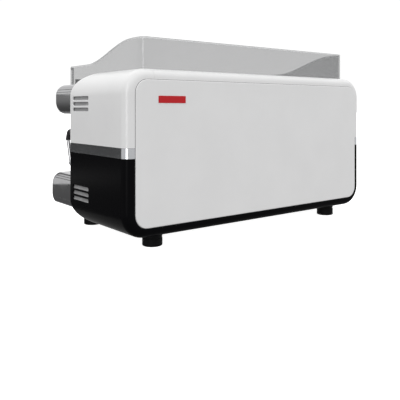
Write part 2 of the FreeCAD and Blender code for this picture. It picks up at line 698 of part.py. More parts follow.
# --- Drip tray --------------------------------------------------------------
def tray_face(inset, x):
    """Side view of the drip tray's surround."""
    low, high = TRAY_Z[0] + inset, TRAY_Z[1] - inset
    nose = TRAY_NOSE + inset
    corners = [(TRAY_BACK, low, 0), (TRAY_BACK, high, 0),
               (nose, high, (124 - inset, 60 - inset)), (nose, low, (30 - inset, 30 - inset))]
    return outline(corners, on_yz(x))


def make_tray_surround():
    """Polished front and ends round the basin, open on top and behind."""
    wall = 5.0
    whole = tray_face(0, -TRAY_HALF).extrude(V(2 * TRAY_HALF, 0, 0))
    inner_half = TRAY_HALF - TRAY_CAP
    hollow = tray_face(wall, -inner_half).extrude(V(2 * inner_half, 0, 0))
    top = box(-inner_half, inner_half, -178, TRAY_BACK + 1, 150, 200)
    drain_hole = rod((0, DRAIN_Y, 60), (0, DRAIN_Y, 100), 13)
    surround = whole.cut(hollow).cut(top).cut(drain_hole)
    ends = [e for e in surround.Edges if len(e.Vertexes) == 2
            and all(abs(abs(v.X) - TRAY_HALF) < 0.01 for v in e.Vertexes)
            and not all(abs(v.Y - TRAY_BACK) < 0.01 for v in e.Vertexes)]
    surround = surround.makeFillet(TRAY_CAP_R, ends)
    nose_end = -178.0
    spans = [box(-inner_half, inner_half, -250, nose_end, 0, 300),
             box(-inner_half, inner_half, nose_end, 0, 0, 300),
             box(inner_half, WIDTH, -250, 0, 0, 300),
             box(-WIDTH, -inner_half, -250, 0, 0, 300)]
    save("tray_surround", *[surround.common(part).Solids[0] for part in spans])


def make_drip_basin():
    """Folded basin: a floor with a drain spigot, and four walls with a ledge for the grate."""
    wall, ledge = 1.5, 12.0
    half, front, rear = 461.0, -176.0, 2.0
    low, high = 104.0, GRATE_Z[0] - 0.4
    base = low + wall
    floor = box(-half, half, front, rear, low, base).cut(rod((0, DRAIN_Y, 60), (0, DRAIN_Y, 120), 8))
    long_wall = box(-half, half, front, front + wall, base, high)
    long_wall = long_wall.fuse(box(-half, half, front, front + ledge, high - 2, high)).removeSplitter()
    other = long_wall.mirror(V(0, (front + rear) / 2, 0), V(0, 1, 0))
    short_wall = box(half - wall, half, front + wall, rear - wall, base, high - 2)
    short_ledge = box(half - ledge, half, front + ledge, rear - ledge, high - 2, high)
    end_wall = short_wall.fuse(short_ledge).removeSplitter()
    drain = ring((0, DRAIN_Y, 72), (0, DRAIN_Y, low), 11, 8)
    save("drip_basin", floor, long_wall, other, *both_sides(end_wall), drain)


def make_drip_grate():
    """Lift-out grate: a rim and bars that run front to back."""
    plate = box(-GRATE_HALF, GRATE_HALF, *GRATE_Y, *GRATE_Z)
    pitch, rim = 16.0, 10.0
    count = int((2 * GRATE_HALF - 2 * rim) / pitch)
    start = -pitch * (count - 1) / 2
    middle = sum(GRATE_Y) / 2
    slots = []
    for k in range(count):
        x = start + k * pitch
        for y0, y1 in ((GRATE_Y[0] + rim, middle - 3), (middle + 3, GRATE_Y[1] - rim)):
            slots.append(box(x - 5.5, x + 5.5, y0, y1, GRATE_Z[0] - 1, GRATE_Z[1] + 1))
    save("drip_grate", plate.cut(Part.makeCompound(slots)))


# --- Inside -----------------------------------------------------------------
def make_boiler():
    """Horizontal copper boiler with dished ends, a safety valve and a heater flange."""
    half, radius, wall = 285.0, 82.0, 3.0
    y, z = 168.0, 330.0
    profile = [(0, -half), (40, -half), (70, -half + 10), (radius, -half + 30), (radius, half - 30),
               (70, half - 10), (0, half - 10), (0, half - 10 - wall), (68, half - 10 - wall),
               (radius - wall, half - 31), (radius - wall, -half + 31), (68, -half + 13),
               (39, -half + wall), (0, -half + wall)]
    shell = turned(profile, (0, y, z), (1, 0, 0))
    valve = rod((60, y, z + radius - 2), (60, y, z + radius + 22), 9)
    valve = valve.fuse(rod((60, y, z + radius + 22), (60, y, z + radius + 36), 13))
    opening = rod((half - 20, y, z), (half, y, z), 32)
    save("boiler", shell.fuse(valve).cut(opening).removeSplitter())
    flange = rod((half - 10, y, z), (half - 2, y, z), 52)
    element = flange
    for dy in (-14, 14):
        inner = half - 9
        loop = [(inner, y + dy, z + 12), (-180, y + dy, z + 12), (-180, y + dy, z - 12),
                (inner, y + dy, z - 12)]
        element = element.fuse(bent_rod(loop, [11.9, 11.9], 4))
    save("heating_element", element.removeSplitter())
    make_boiler_brackets(y, z, radius)
    make_copper_pipes(y, z, radius)


def make_boiler_brackets(y, z, radius):
    plate = box(198, 202, y - 70, y + 70, PAN_Z[1], z - 20)
    foot = box(198, 222, y - 70, y + 70, PAN_Z[1], PAN_Z[1] + 3)
    plate = plate.fuse(foot).cut(rod((190, y, z), (230, y, z), radius + 0.05)).removeSplitter()
    save("boiler_brackets", *both_sides(plate))


def make_copper_pipes(y, z, radius):
    """Feed pipes from the boiler to the groups."""
    pipes = []
    for x in GROUPS.values():
        start_y = y - radius
        path = [(x, start_y, z + 4), (x, start_y - 26, z + 4), (x, start_y - 26, z + 18),
                (x, 22, z + 18)]
        pipes.append(bent_rod(path, [6.9, 6.9], 5))
    save("copper_pipes", *pipes)


def make_pump_motor():
    y, z = 110.0, PAN_Z[1] + 62
    motor = rod((250, y, z), (372, y, z), 52)
    pump = rod((226, y, z), (250, y, z), 34).fuse(rod((212, y, z), (226, y, z), 26))
    foot = box(262, 360, y - 44, y + 44, PAN_Z[1], z - 26)
    save("pump_motor", motor.fuse([pump, foot]).removeSplitter())


def make_control_box():
    shell = box(-372, -250, 60, 190, PAN_Z[1], 200)
    upright = [e for e in shell.Edges if abs(e.Vertexes[0].Z - e.Vertexes[1].Z) > 1]
    save("control_box", shell.makeFillet(3, upright))


def make_service_fittings():
    """Mains water inlet and cable gland, pointing down through the base pan."""
    x, y = INLET
    stub_top = PAN_Z[0] - 0.4
    inlet = rod((x, y, 44), (x, y, stub_top), 8.3).fuse(rod((x, y, stub_top), (x, y, PAN_Z[1] + 20), 7.9))
    inlet = inlet.fuse(rod((x, y, PAN_Z[1]), (x, y, PAN_Z[1] + 6), 14))
    inlet = inlet.cut(rod((x, y, 40), (x, y, 100), 5)).removeSplitter()
    x, y = GLAND
    gland = rod((x, y, 48), (x, y, PAN_Z[1] + 10), 10).fuse(rod((x, y, 46), (x, y, PAN_Z[0]), 14))
    gland = gland.fuse(rod((x, y, PAN_Z[1]), (x, y, PAN_Z[1] + 5), 14))
    gland = gland.cut(rod((x, y, 40), (x, y, 100), 6.5)).removeSplitter()
    save("service_fittings", inlet, gland)


make_covers()
make_rear_panel()
make_vent_screens()
make_cover_screws()
make_base_frame()
make_base_pan()
make_upper_frame()
make_feet()
make_cup_tray()
make_cup_guard()
make_console()
make_gauges()
make_knob("steam_knob_right", KNOB_X)
make_knob("steam_knob_left", -KNOB_X)
make_knob("hot_water_knob", WATER_KNOB_X)
make_power_switch()
make_groups()
make_splash_panel()
make_outlet_valves()
make_wand()
make_hot_water_spout()
make_tray_surround()
make_drip_basin()
make_drip_grate()
make_boiler()
make_pump_motor()
make_control_box()
make_service_fittings()
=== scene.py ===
"""Three-group bar espresso machine: the visible pieces over the CAD model, their finishes and the studio.

Lengths inside the functions are millimetres, +Z up, and -Y is the barista's side.
"""

import math

import bmesh
import bpy
import numpy as np
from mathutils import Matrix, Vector


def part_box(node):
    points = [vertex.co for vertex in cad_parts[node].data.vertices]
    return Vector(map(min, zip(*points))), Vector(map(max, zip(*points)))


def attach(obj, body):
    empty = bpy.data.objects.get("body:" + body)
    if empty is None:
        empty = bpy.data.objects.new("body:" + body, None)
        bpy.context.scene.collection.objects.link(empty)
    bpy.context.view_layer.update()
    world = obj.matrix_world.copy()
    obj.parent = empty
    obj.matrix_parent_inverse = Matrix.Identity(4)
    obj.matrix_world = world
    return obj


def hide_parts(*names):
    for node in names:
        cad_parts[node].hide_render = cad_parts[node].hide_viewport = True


bl_info = {
    "name": "Bar espresso machine",
    "version": (1, 0, 0),
    "blender": (4, 5, 0),
    "location": "View3D > Sidebar > Machine",
    "description": "Builds a three-group espresso machine over its CAD model",
    "category": "Object",
}

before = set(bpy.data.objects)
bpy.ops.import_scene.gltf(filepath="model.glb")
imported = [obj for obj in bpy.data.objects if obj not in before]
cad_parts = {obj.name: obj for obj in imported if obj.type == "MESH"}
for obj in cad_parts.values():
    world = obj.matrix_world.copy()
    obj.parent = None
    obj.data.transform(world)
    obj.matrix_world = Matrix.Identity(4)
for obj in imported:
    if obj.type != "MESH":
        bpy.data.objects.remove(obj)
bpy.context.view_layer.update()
MM = 0.001
SIDES = {"right": 1.0, "left": -1.0}
GROUPS = {"left": -250.0, "centre": 0.0, "right": 250.0}
GAUGE_Z = 417.0
BUTTON_Z = 350.0


# --- Surfaces ---------------------------------------------------------------
def span(node):
    """Lowest and highest corner of a CAD node, in millimetres."""
    low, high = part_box(node)
    return np.array(low) / MM, np.array(high) / MM


def quads(rows, columns, ring):
    """Faces between neighbouring points of a grid; with ring, the last column joins the first."""
    row = np.arange(rows - 1)[:, None]
    column = np.arange(columns if ring else columns - 1)[None, :]
    beside = (column + 1) % columns
    corners = [row * columns + column, row * columns + beside,
               (row + 1) * columns + beside, (row + 1) * columns + column]
    return np.stack(np.broadcast_arrays(*corners), axis=-1).reshape(-1, 4)


def loft(rings):
    """Closed skin through rings of points, with a flat face over the first ring and the last."""
    rings = np.asarray(rings, float)
    rows, columns = rings.shape[:2]
    ends = [np.arange(columns), (rows - 1) * columns + np.arange(columns)]
    return rings.reshape(-1, 3), quads(rows, columns, True).tolist() + [e.tolist() for e in ends]


def joined(*surfaces):
    """One surface out of several: their points in turn, with the faces renumbered."""
    points, faces, first = [], [], 0
    for some, listed in surfaces:
        points.append(some)
        faces += [[corner + first for corner in face] for face in listed]
        first += len(some)
    return np.concatenate(points), faces


def mirrored(surface):
    """The same surface on the other side of the machine: x becomes -x."""
    return surface[0] * (-1, 1, 1), surface[1]


def bend(corners, before, after=None, closed=True, steps=9, hold=0.6):
    """Path round corners, and its directions.

    Each corner is a cubic curve that starts `before` short of it and ends `after` past it, with
    handles 4/3 tan(turn/4) / tan(turn/2) of the way in, which is a circle where the two are equal.
    A point close beside each end of a curve keeps the straight runs flat.
    """
    corners = np.asarray(corners, float)
    back = np.roll(corners, 1, axis=0) - corners
    ahead = np.roll(corners, -1, axis=0) - corners
    back_length = np.linalg.norm(back, axis=1, keepdims=True) + 1e-9
    ahead_length = np.linalg.norm(ahead, axis=1, keepdims=True) + 1e-9
    back, ahead = back / back_length, ahead / ahead_length
    turn = np.pi - np.arccos(np.clip((back * ahead).sum(axis=1, keepdims=True), -1, 1))
    turn = np.maximum(turn, 1e-3)
    full = 4 / 3 * np.tan(turn / 4) / np.tan(turn / 2)
    before = np.broadcast_to(np.reshape(before, (-1, 1)), back_length.shape)
    after = before if after is None else np.broadcast_to(np.reshape(after, (-1, 1)), back_length.shape)
    start = corners + back * np.minimum(np.maximum(before, 0.12), 0.45 * back_length)
    end = corners + ahead * np.minimum(np.maximum(after, 0.12), 0.45 * ahead_length)
    first = start + back * np.minimum(hold, 0.04 * back_length)
    last = end + ahead * np.minimum(hold, 0.04 * ahead_length)
    near, far = start + (corners - start) * full, end + (corners - end) * full
    t = np.linspace(0, 1, steps)[None, :, None]
    start, end, near, far = (p[:, None, :] for p in (start, end, near, far))
    curve = (1 - t) ** 3 * start + 3 * (1 - t) ** 2 * t * near + 3 * (1 - t) * t ** 2 * far + t ** 3 * end
    slope = (1 - t) ** 2 * (near - start) + 2 * (1 - t) * t * (far - near) + t ** 2 * (end - far)
    curve = np.concatenate([first[:, None], curve, last[:, None]], axis=1)
    slope = np.concatenate([-back[:, None], slope, ahead[:, None]], axis=1)
    if not closed:
        curve, slope = curve[1:-1], slope[1:-1]
    path, slope = curve.reshape(-1, corners.shape[1]), slope.reshape(-1, corners.shape[1])
    if not closed:
        path = np.concatenate([corners[:1], path, corners[-1:]])
        slope = np.concatenate([slope[:1], slope, slope[-1:]])
    return path, slope / np.linalg.norm(slope, axis=1, keepdims=True)


def rectangle(a0, a1, b0, b1, radius):
    """Rounded rectangle that shrinks by an inset: its sides move in and its corner radius drops as much."""
    def section(inset):
        low, high = (a0 + inset, b0 + inset), (a1 - inset, b1 - inset)
        corners = [low, (high[0], low[1]), high, (low[0], high[1])]
        return bend(corners, radius - inset)[0]
    return section


def edges(low, high, edge_low, edge_high, steps=7):
    """Heights and insets from one face to the other: inset e (1 - sin a) at height e (1 - cos a) round
    each edge."""
    a = np.linspace(0, np.pi / 2, steps)
    rise, run = 1 - np.cos(a), 1 - np.sin(a)
    near = min(0.6, (high - low - edge_low - edge_high) / 3)
    insets = np.concatenate([[edge_low + 0.6], edge_low * run, [0, 0],
                             edge_high * run[::-1], [edge_high + 0.6]])
    heights = np.concatenate([[low], low + edge_low * rise, [low + edge_low + near, high - edge_high - near],
                              high - edge_high * rise[::-1], [high]])
    return heights, insets


def place(a, b, height, plane):
    """Points of a drawing plane at a height over it: xz looks along Y, yz along X and xy down."""
    height = np.broadcast_to(height, np.shape(a))
    order = {"xz": (a, height, b), "yz": (height, a, b), "xy": (a, b, height)}
    return np.stack(order[plane], axis=-1)


def slab(section, heights, insets, plane):
    """Skin through copies of a section, each at its own height and inset."""
    outlines = np.stack([section(inset) for inset in insets])
    return loft(place(outlines[..., 0], outlines[..., 1], np.reshape(heights, (-1, 1)), plane))


def turned(profile, origin, axis, soft=0.5, segments=72, flutes=0, depth=0.0):
    """Profile of (radius, distance) turned round an axis, its corners softened.

    With flutes, the radius at angle a is r (1 - depth ((1 + cos(n a)) / 2)^2).
    """
    profile = bend(profile, soft, closed=False, steps=5, hold=0.3)[0]
    axis = np.array(Vector(axis).normalized())
    first = np.array(Vector(axis).orthogonal().normalized())
    second = np.cross(axis, first)
    a = np.linspace(0, 2 * np.pi, segments, endpoint=False)[None, :, None]
    radius = profile[:, 0][:, None, None]
    if flutes:
        radius = radius * (1 - depth * ((1 + np.cos(flutes * a)) / 2) ** 2)
    rings = np.array(origin, float) + profile[:, 1][:, None, None] * axis
    rings = rings + radius * (np.cos(a) * first + np.sin(a) * second)
    return loft(rings)


def bent_line(corners, bends):
    """Straight runs joined by arcs of the given radii, and the directions along them."""
    corners = np.asarray(corners, float)
    back, ahead = corners[:-2] - corners[1:-1], corners[2:] - corners[1:-1]
    cosine = (back * ahead).sum(axis=1) / np.linalg.norm(back, axis=1) / np.linalg.norm(ahead, axis=1)
    reach = np.array(bends) / np.tan(np.arccos(cosine) / 2)
    return bend(corners, np.concatenate([[1], reach, [1]]), closed=False, steps=14, hold=0.2)


def tube(line, radius, across, segments=28):
    """Rings round a line in one plane: centre + r (cos a across + sin a (across x direction))."""
    centres, slopes = line
    across = np.array(across, float)
    a = np.linspace(0, 2 * np.pi, segments, endpoint=False)[None, :, None]
    side = np.cross(across, slopes)[:, None, :]
    radius = np.broadcast_to(radius, len(centres))[:, None, None]
    return loft(centres[:, None, :] + radius * (np.cos(a) * across + np.sin(a) * side))


# --- Pieces -----------------------------------------------------------------
def make_piece(name, surface, finishes, body, slot, nodes=(), painted=None, flat=32):
    """Puts a surface into a mesh, closes and orients it, parents it to its body's empty and hides the CAD
    nodes it stands for.
    """
    points, faces = surface
    mesh = bpy.data.meshes.new(name)
    mesh.from_pydata((np.asarray(points) * MM).tolist(), [], faces)
    for finish in finishes if isinstance(finishes, (list, tuple)) else [finishes]:
        mesh.materials.append(finish)
    if painted is not None:
        mesh.polygons.foreach_set("material_index", np.asarray(painted, np.int32))
    close_and_orient(mesh, flat)
    piece = bpy.data.objects.new(name, mesh)
    bpy.context.scene.collection.objects.link(piece)
    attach(piece, body)
    if nodes:
        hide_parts(*nodes)
    return piece


def close_and_orient(mesh, flat=32):
    """Merges doubled points, turns every face outwards and keeps edges sharper than `flat` degrees."""
    work = bmesh.new()
    work.from_mesh(mesh)
    bmesh.ops.remove_doubles(work, verts=work.verts, dist=2e-6)
    bmesh.ops.dissolve_degenerate(work, edges=work.edges, dist=1e-6)
    bmesh.ops.recalc_face_normals(work, faces=work.faces)
    work.to_mesh(mesh)
    work.free()
    mesh.shade_smooth()
    mesh.set_sharp_from_angle(angle=math.radians(flat))


def carve(piece, surface):
    """Cuts a closed surface out of a piece and keeps the result as its mesh."""
    points, faces = surface
    mesh = bpy.data.meshes.new("cutter")
    mesh.from_pydata((points * MM).tolist(), [], faces)
    close_and_orient(mesh)
    cutter = bpy.data.objects.new("cutter", mesh)
    bpy.context.scene.collection.objects.link(cutter)
    change = piece.modifiers.new("Slots", "BOOLEAN")
    change.object = cutter
    change.solver = "EXACT"
    graph = bpy.context.evaluated_depsgraph_get()
    result = bpy.data.meshes.new_from_object(piece.evaluated_get(graph))
    piece.modifiers.clear()
    piece.data = result
    result.shade_smooth()
    result.set_sharp_from_angle(angle=math.radians(32))
    bpy.data.objects.remove(cutter)


def paint_nodes(finish, *nodes):
    """Gives CAD nodes a finish."""
    for node in nodes:
        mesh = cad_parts[node].data
        mesh.materials.clear()
        mesh.materials.append(finish)


# --- Shading ----------------------------------------------------------------
class Wire:
    """One output of a shading node. Arithmetic on it adds Math nodes."""

    def __init__(self, tree, socket=None):
        self.tree = tree
        self.socket = socket

    def node(self, kind, settings=None, values=None, output=0):
        """Adds a node: its settings first, then the values or links of its sockets."""
        made = self.tree.nodes.new(kind)
        for name, setting in (settings or {}).items():
            setattr(made, name, setting)
        for name, value in (values or {}).items():
            if isinstance(value, Wire):
                self.tree.links.new(value.socket, made.inputs[name])
            else:
                made.inputs[name].default_value = value
        return Wire(self.tree, made.outputs[output]) if made.outputs else None

    def maths(self, operation, first, second=0.0):
        return self.node("ShaderNodeMath", {"operation": operation}, {0: first, 1: second})

    def __add__(self, other):
        return self.maths("ADD", self, other)

    __radd__ = __add__

    def __sub__(self, other):
        return self.maths("SUBTRACT", self, other)

    def __rsub__(self, other):
        return self.maths("SUBTRACT", other, self)

    def __mul__(self, other):
        return self.maths("MULTIPLY", self, other)

    __rmul__ = __mul__

    def __truediv__(self, other):
        return self.maths("DIVIDE", self, other)

    def __abs__(self):
        return self.maths("ABSOLUTE", self)

    def step(self, low, high):
        """0 below low, 1 above high, and smooth between."""
        ends = {"Value": self, "From Min": low, "From Max": high}
        return self.node("ShaderNodeMapRange", {"interpolation_type": "SMOOTHSTEP"}, ends)

    def blend(self, first, second):
        """Colour that goes from first to second as this goes from 0 to 1."""
        return self.node("ShaderNodeMix", {"data_type": "RGBA"}, {0: self, 6: first, 7: second}, 2)

    def noise(self, scale, stretch=(1, 1, 1), detail=3.0):
        """Noise between 0 and 1 over a position, stretched by dividing its frequency along each axis."""
        frequency = tuple(scale / s for s in stretch)
        spread = self.node("ShaderNodeMapping", {}, {"Vector": self, "Scale": frequency})
        return self.node("ShaderNodeTexNoise", {}, {"Vector": spread, "Scale": 1.0, "Detail": detail})

    def axis(self, name):
        """One coordinate of a position, in millimetres."""
        return self.node("ShaderNodeSeparateXYZ", {}, {"Vector": self}, name) * (1 / MM)

    def bump(self, distance, strength=1.0):
        return self.node("ShaderNodeBump", {}, {"Height": self, "Distance": distance, "Strength": strength})


def new_finish(name, shade):
    """Material whose shade function maps the position in the object to the sockets of its shader."""
    finish = bpy.data.materials.get(name) or bpy.data.materials.new(name)
    finish.use_nodes = True
    tree = finish.node_tree
    tree.nodes.clear()
    position = Wire(tree).node("ShaderNodeTexCoord", output="Object")
    shader = position.node("ShaderNodeBsdfPrincipled", {}, shade(position))
    position.node("ShaderNodeOutputMaterial", {}, {"Surface": shader})
    return finish


def tone(colour, factor):
    """Colour made lighter or darker."""
    return tuple(min(1.0, c * factor) for c in colour[:3]) + (1.0,)


def enamel(name, colour, rough, coat, peel=0.00004, shine=0.5):
    """Sprayed or moulded gloss: a faint cloudiness, fine orange peel and a clear coat."""
    def shade(position):
        cloud = position.noise(7.0).step(0.3, 0.7)
        fine = position.noise(620.0, detail=1.5)
        return {"Base Color": cloud.blend(tone(colour, 0.985), tone(colour, 1.015)),
                "Roughness": fine * 0.08 + (rough - 0.04), "Coat Weight": coat, "Coat Roughness": 0.06,
                "Specular IOR Level": shine, "Normal": fine.bump(peel, 0.5)}
    return new_finish(name, shade)


def brushed(name, colour, rough, stretch, depth=0.00002):
    """Metal with drawn-out scratches along one axis and a slow drift of tone."""
    def shade(position):
        lines = position.noise(900.0, stretch, 4.0)
        drift = position.noise(9.0)
        return {"Base Color": lines.blend(tone(colour, 0.9), tone(colour, 1.06)), "Metallic": 1.0,
                "Roughness": lines * 0.12 + drift * 0.08 + (rough - 0.1), "Normal": lines.bump(depth, 0.4)}
    return new_finish(name, shade)


def polished(name, colour, rough):
    """Bright metal with faint smears and hairlines."""
    def shade(position):
        smear = position.noise(26.0, detail=4.0).step(0.35, 0.75)
        hair = position.noise(1400.0, (1, 14, 1), 2.0)
        return {"Base Color": smear.blend(tone(colour, 0.96), tone(colour, 1.02)), "Metallic": 1.0,
                "Roughness": smear * 0.05 + hair * 0.03 + rough, "Normal": hair.bump(0.000004, 0.3)}
    return new_finish(name, shade)


def moulded(name, colour, rough, grain=900.0, depth=0.00006, shine=0.5):
    """Plastic or rubber with a fine eroded grain and slightly worn, paler patches."""
    def shade(position):
        speck = position.noise(grain, detail=4.0)
        worn = position.noise(34.0).step(0.45, 0.8)
        return {"Base Color": worn.blend(tone(colour, 0.92), tone(colour, 1.25)),
                "Roughness": speck * 0.15 + worn * 0.05 + (rough - 0.08), "Specular IOR Level": shine,
                "Normal": speck.bump(depth, 0.5)}
    return new_finish(name, shade)


def guard_finish(name, colour, cover, rough):
    """Clear sheet: mostly let through, with faint scuffs that catch a little light."""
    def shade(position):
        scuff = position.noise(240.0, (1, 1, 6), 4.0).step(0.58, 0.8)
        haze = position.noise(5.0)
        return {"Base Color": haze.blend(tone(colour, 0.95), tone(colour, 1.05)),
                "Alpha": haze * 0.03 + scuff * 0.05 + (cover - 0.015), "Roughness": scuff * 0.2 + rough,
                "IOR": 1.45, "Specular IOR Level": 1.0}
    return new_finish(name, shade)


def console_front(name, colour, line_colour, middle, pitch):
    """Black front with seven fine pale lines, level across it."""
    def shade(position):
        height = (position.axis("Z") - middle) / pitch
        nearest = abs(height - height.maths("ROUND", height))
        drawn = (1 - nearest.step(0.035, 0.06)) * (1 - abs(height).step(3.2, 3.3))
        fine = position.noise(800.0, (6, 1, 1), 2.0)
        return {"Base Color": drawn.blend(tone(colour, 1.0), tone(line_colour, 1.0)),
                "Roughness": fine * 0.1 + 0.2, "Coat Weight": 0.25, "Normal": fine.bump(0.00002, 0.3)}
    return new_finish(name, shade)


def tray_finish(name, steel, black, lip):
    """Brushed cup tray whose front lip is black."""
    def shade(position):
        lines = position.noise(900.0, (30, 1, 1), 4.0)
        raised = position.axis("Z").step(lip, lip + 0.2)
        steel_tone = lines.blend(tone(steel, 0.88), tone(steel, 1.05))
        return {"Base Color": raised.blend(steel_tone, tone(black, 1.0)), "Metallic": 1 - raised,
                "Roughness": lines * 0.14 + 0.22, "Normal": lines.bump(0.00002, 0.4)}
    return new_finish(name, shade)


def end_finish(name, colour, rough, grooves):
    """Polished end with fine level grooves at the given heights: each groove is bumped in, made rougher, and
    painted darker as painted shade.
    """
    def shade(position):
        height = position.axis("Z")
        groove_and_painted_shade = 0.0
        for at in grooves:
            groove_and_painted_shade = groove_and_painted_shade + (1 - abs(height - at).step(0.35, 0.8))
        smear = position.noise(26.0, detail=4.0).step(0.35, 0.75)
        # The groove's darker base colour is painted shade in the groove; its roughness and bump are the
        # groove itself.
        return {"Base Color": groove_and_painted_shade.blend(tone(colour, 1.0), tone(colour, 0.22)), "Metallic": 1.0,
                "Roughness": smear * 0.05 + groove_and_painted_shade * 0.2 + rough, "Normal": (1 - groove_and_painted_shade).bump(0.0004, 0.6)}
    return new_finish(name, shade)


# --- Settings ---------------------------------------------------------------
class MachineSizes(bpy.types.PropertyGroup):
    """Sizes of the body and its details that the CAD boxes don't give."""

    cover_radius: bpy.props.FloatProperty(
        name="Cover radius", description="Big outer corners of the covers", default=0.070, unit="LENGTH")
    rim_radius: bpy.props.FloatProperty(
        name="Rim radius", description="Rounding round the rear of the covers", default=0.024, unit="LENGTH")
    wall: bpy.props.FloatProperty(
        name="Cover wall", description="Thickness of the covers", default=0.0025, unit="LENGTH")
    panel_radius: bpy.props.FloatProperty(
        name="Panel radius", description="Corners of the rear panel", default=0.038, unit="LENGTH")
    guard_wall: bpy.props.FloatProperty(
        name="Guard wall", description="Thickness of the clear guard", default=0.005, unit="LENGTH")
    guard_front: bpy.props.FloatProperty(
        name="Guard front height", description="Top of the guard at its low front", default=0.529,
        unit="LENGTH")
    line_pitch: bpy.props.FloatProperty(
        name="Line pitch", description="Between the fine lines on the console", default=0.0099, unit="LENGTH")


class MachineFinishes(bpy.types.PropertyGroup):
    """Colours and gloss."""

    cover: bpy.props.FloatVectorProperty(
        name="Covers", description="Upper covers and rear panel", subtype="COLOR",
        default=(0.84, 0.84, 0.842))
    shell: bpy.props.FloatVectorProperty(
        name="Lower shell", description="Lower covers", subtype="COLOR", default=(0.004, 0.004, 0.0046))
    trim: bpy.props.FloatVectorProperty(
        name="Trim", description="Bright trims", subtype="COLOR", default=(0.62, 0.63, 0.65))
    steel: bpy.props.FloatVectorProperty(
        name="Steel", description="Polished and brushed steel", subtype="COLOR", default=(0.56, 0.56, 0.57))
    badge: bpy.props.FloatVectorProperty(
        name="Badge", description="Plain badge", subtype="COLOR", default=(0.55, 0.012, 0.018))
    guard: bpy.props.FloatVectorProperty(
        name="Guard tint", description="Clear sheet round the cups", subtype="COLOR",
        default=(0.16, 0.165, 0.17))
    guard_cover: bpy.props.FloatProperty(
        name="Guard cover", description="How much each face of the guard hides", subtype="FACTOR",
        default=0.37, min=0, max=1)
    gloss: bpy.props.FloatProperty(
        name="Cover roughness", description="Roughness of the covers", subtype="FACTOR", default=0.34,
        min=0, max=1)


class StudioSettings(bpy.types.PropertyGroup):
    """Camera, floor and light."""

    place: bpy.props.FloatVectorProperty(
        name="Camera place", description="Where the camera stands", subtype="TRANSLATION", unit="LENGTH",
        default=(1.2259, 1.5440, 0.3872))
    ahead: bpy.props.FloatVectorProperty(
        name="Camera direction", description="Level direction of view", subtype="DIRECTION",
        default=(-0.61222, -0.79069, 0.0))
    lens: bpy.props.FloatProperty(
        name="Lens", description="Focal length in millimetres", default=49.5, min=10)
    rise: bpy.props.FloatProperty(
        name="Shift", description="Vertical shift of the frame", default=-0.2281)
    sky: bpy.props.FloatProperty(
        name="Room light", description="Strength of the soft light", default=1.0, min=0)


def sizes():
    return bpy.context.scene.machine_sizes


def finishes():
    return bpy.context.scene.machine_finishes


# --- Covers -----------------------------------------------------------------
def skirt(front, wall, rim, first_y=None):
    """Depths, insets and wall shares round a cover's thickness: front flange, outside, rear lap, inside.

    The rim is y = rear - r + r sin a with inset r (1 - cos a), and the inner face follows it a wall in.
    """
    low, high = front, span("side_cover_upper_right")[1][1]
    start = high - rim
    b = np.linspace(np.pi / 2, 0, 18)
    nose = 19 - 70 * np.sin(b)
    lead = 0.0 if first_y is None else math.asin((first_y - start) / rim)
    a = np.linspace(lead, np.pi / 2, 12)
    outer = np.stack([start + rim * np.sin(a), rim * (1 - np.cos(a)), 0 * a], axis=1)
    inner = rim - wall
    inner_lead = 0.0 if first_y is None else math.asin((first_y - start) / inner)
    a = np.linspace(np.pi / 2, inner_lead, 12)
    under = np.stack([start + inner * np.sin(a), rim - inner * np.cos(a), wall + 0 * a], axis=1)
    lap = np.array([[high, rim + 0.6, 0], [high, rim + 12, 0], [high - wall, rim + 12, wall]])
    if first_y is not None:
        return np.concatenate([outer, lap, under])
    run = np.stack([np.concatenate([nose[1:], [20, 60, 120, 180, start - 8, start - 0.6]])] * 3, axis=1)
    run[:, 1:] = 0
    back = run[::-1] + (0, wall, wall)
    back = back[back[:, 0] > low + wall]
    flange = np.array([[low + wall, wall, wall], [low + wall, 14, wall], [low, 14, 0], [low, 1.2, 0],
                       [low + 0.35, 0.35, 0], [low + 1.2, 0, 0]])
    return np.concatenate([run[run[:, 0] > low + 1.3], outer, lap, under, back, flange])


def corner_section(start_z, first_x, last_x):
    """Covers' corner from a first x round to a last x: a low side, a quarter circle and a flat top, as far as
    each lies between them. Rows are x, z and the outward normal."""
    half, top = span("side_cover_upper_right")[1][[0, 2]]
    radius = sizes().cover_radius / MM
    centre_x, centre_z = half - radius, top - radius
    turns = [math.acos(min(max((x - centre_x) / radius, 0), 1)) for x in (first_x, last_x)]
    runs = []
    if first_x >= half:
        runs.append([[half, start_z, 1, 0], [half, centre_z - 1, 1, 0]])
    if turns[0] < turns[1]:
        a = np.linspace(*turns, 26)
        runs.append(np.stack([centre_x + radius * np.cos(a), centre_z + radius * np.sin(a),
                              np.cos(a), np.sin(a)], axis=1))
    if last_x < centre_x:
        begin = min(first_x, centre_x - 1)
        runs.append([[x, top, 0, 1] for x in (begin, (begin + last_x) / 2, last_x)])
    return np.concatenate(runs)


def cover_shell(section, first_y=None):
    """Upper right cover: each point is the section's point less its normal times the inset, kept under the
    rounded front, z <= 427 + sqrt((70 - w)^2 - (19 - y)^2), through a smooth minimum."""
    size = sizes()
    centre_z = span("side_cover_upper_right")[1][2] - size.cover_radius / MM
    front = span("side_cover_lower_right")[0][1]
    y, inset, share = skirt(front, size.wall / MM, size.rim_radius / MM, first_y).T
    x = section[:, 0:1] - section[:, 2:3] * inset
    z = section[:, 1:2] - section[:, 3:4] * inset
    limit = centre_z + np.sqrt(np.maximum((70 - share) ** 2 - (19 - y) ** 2, 0))
    limit = np.where(y < 19, limit, 1e4)
    soft = 12 * np.clip((19 - y) / 25, 0, 1) + 1e-3
    h = np.clip(0.5 + 0.5 * (limit - z) / soft, 0, 1)
    z = np.where(h < 1, limit * (1 - h) + z * h - soft * h * (1 - h), z)
    return loft(np.stack([x, np.broadcast_to(y, x.shape), z], axis=-1))


def upside_down(surface, middle):
    """The surface turned over about a height."""
    return surface[0] * (1, 1, -1) + (0, 0, 2 * middle), surface[1]


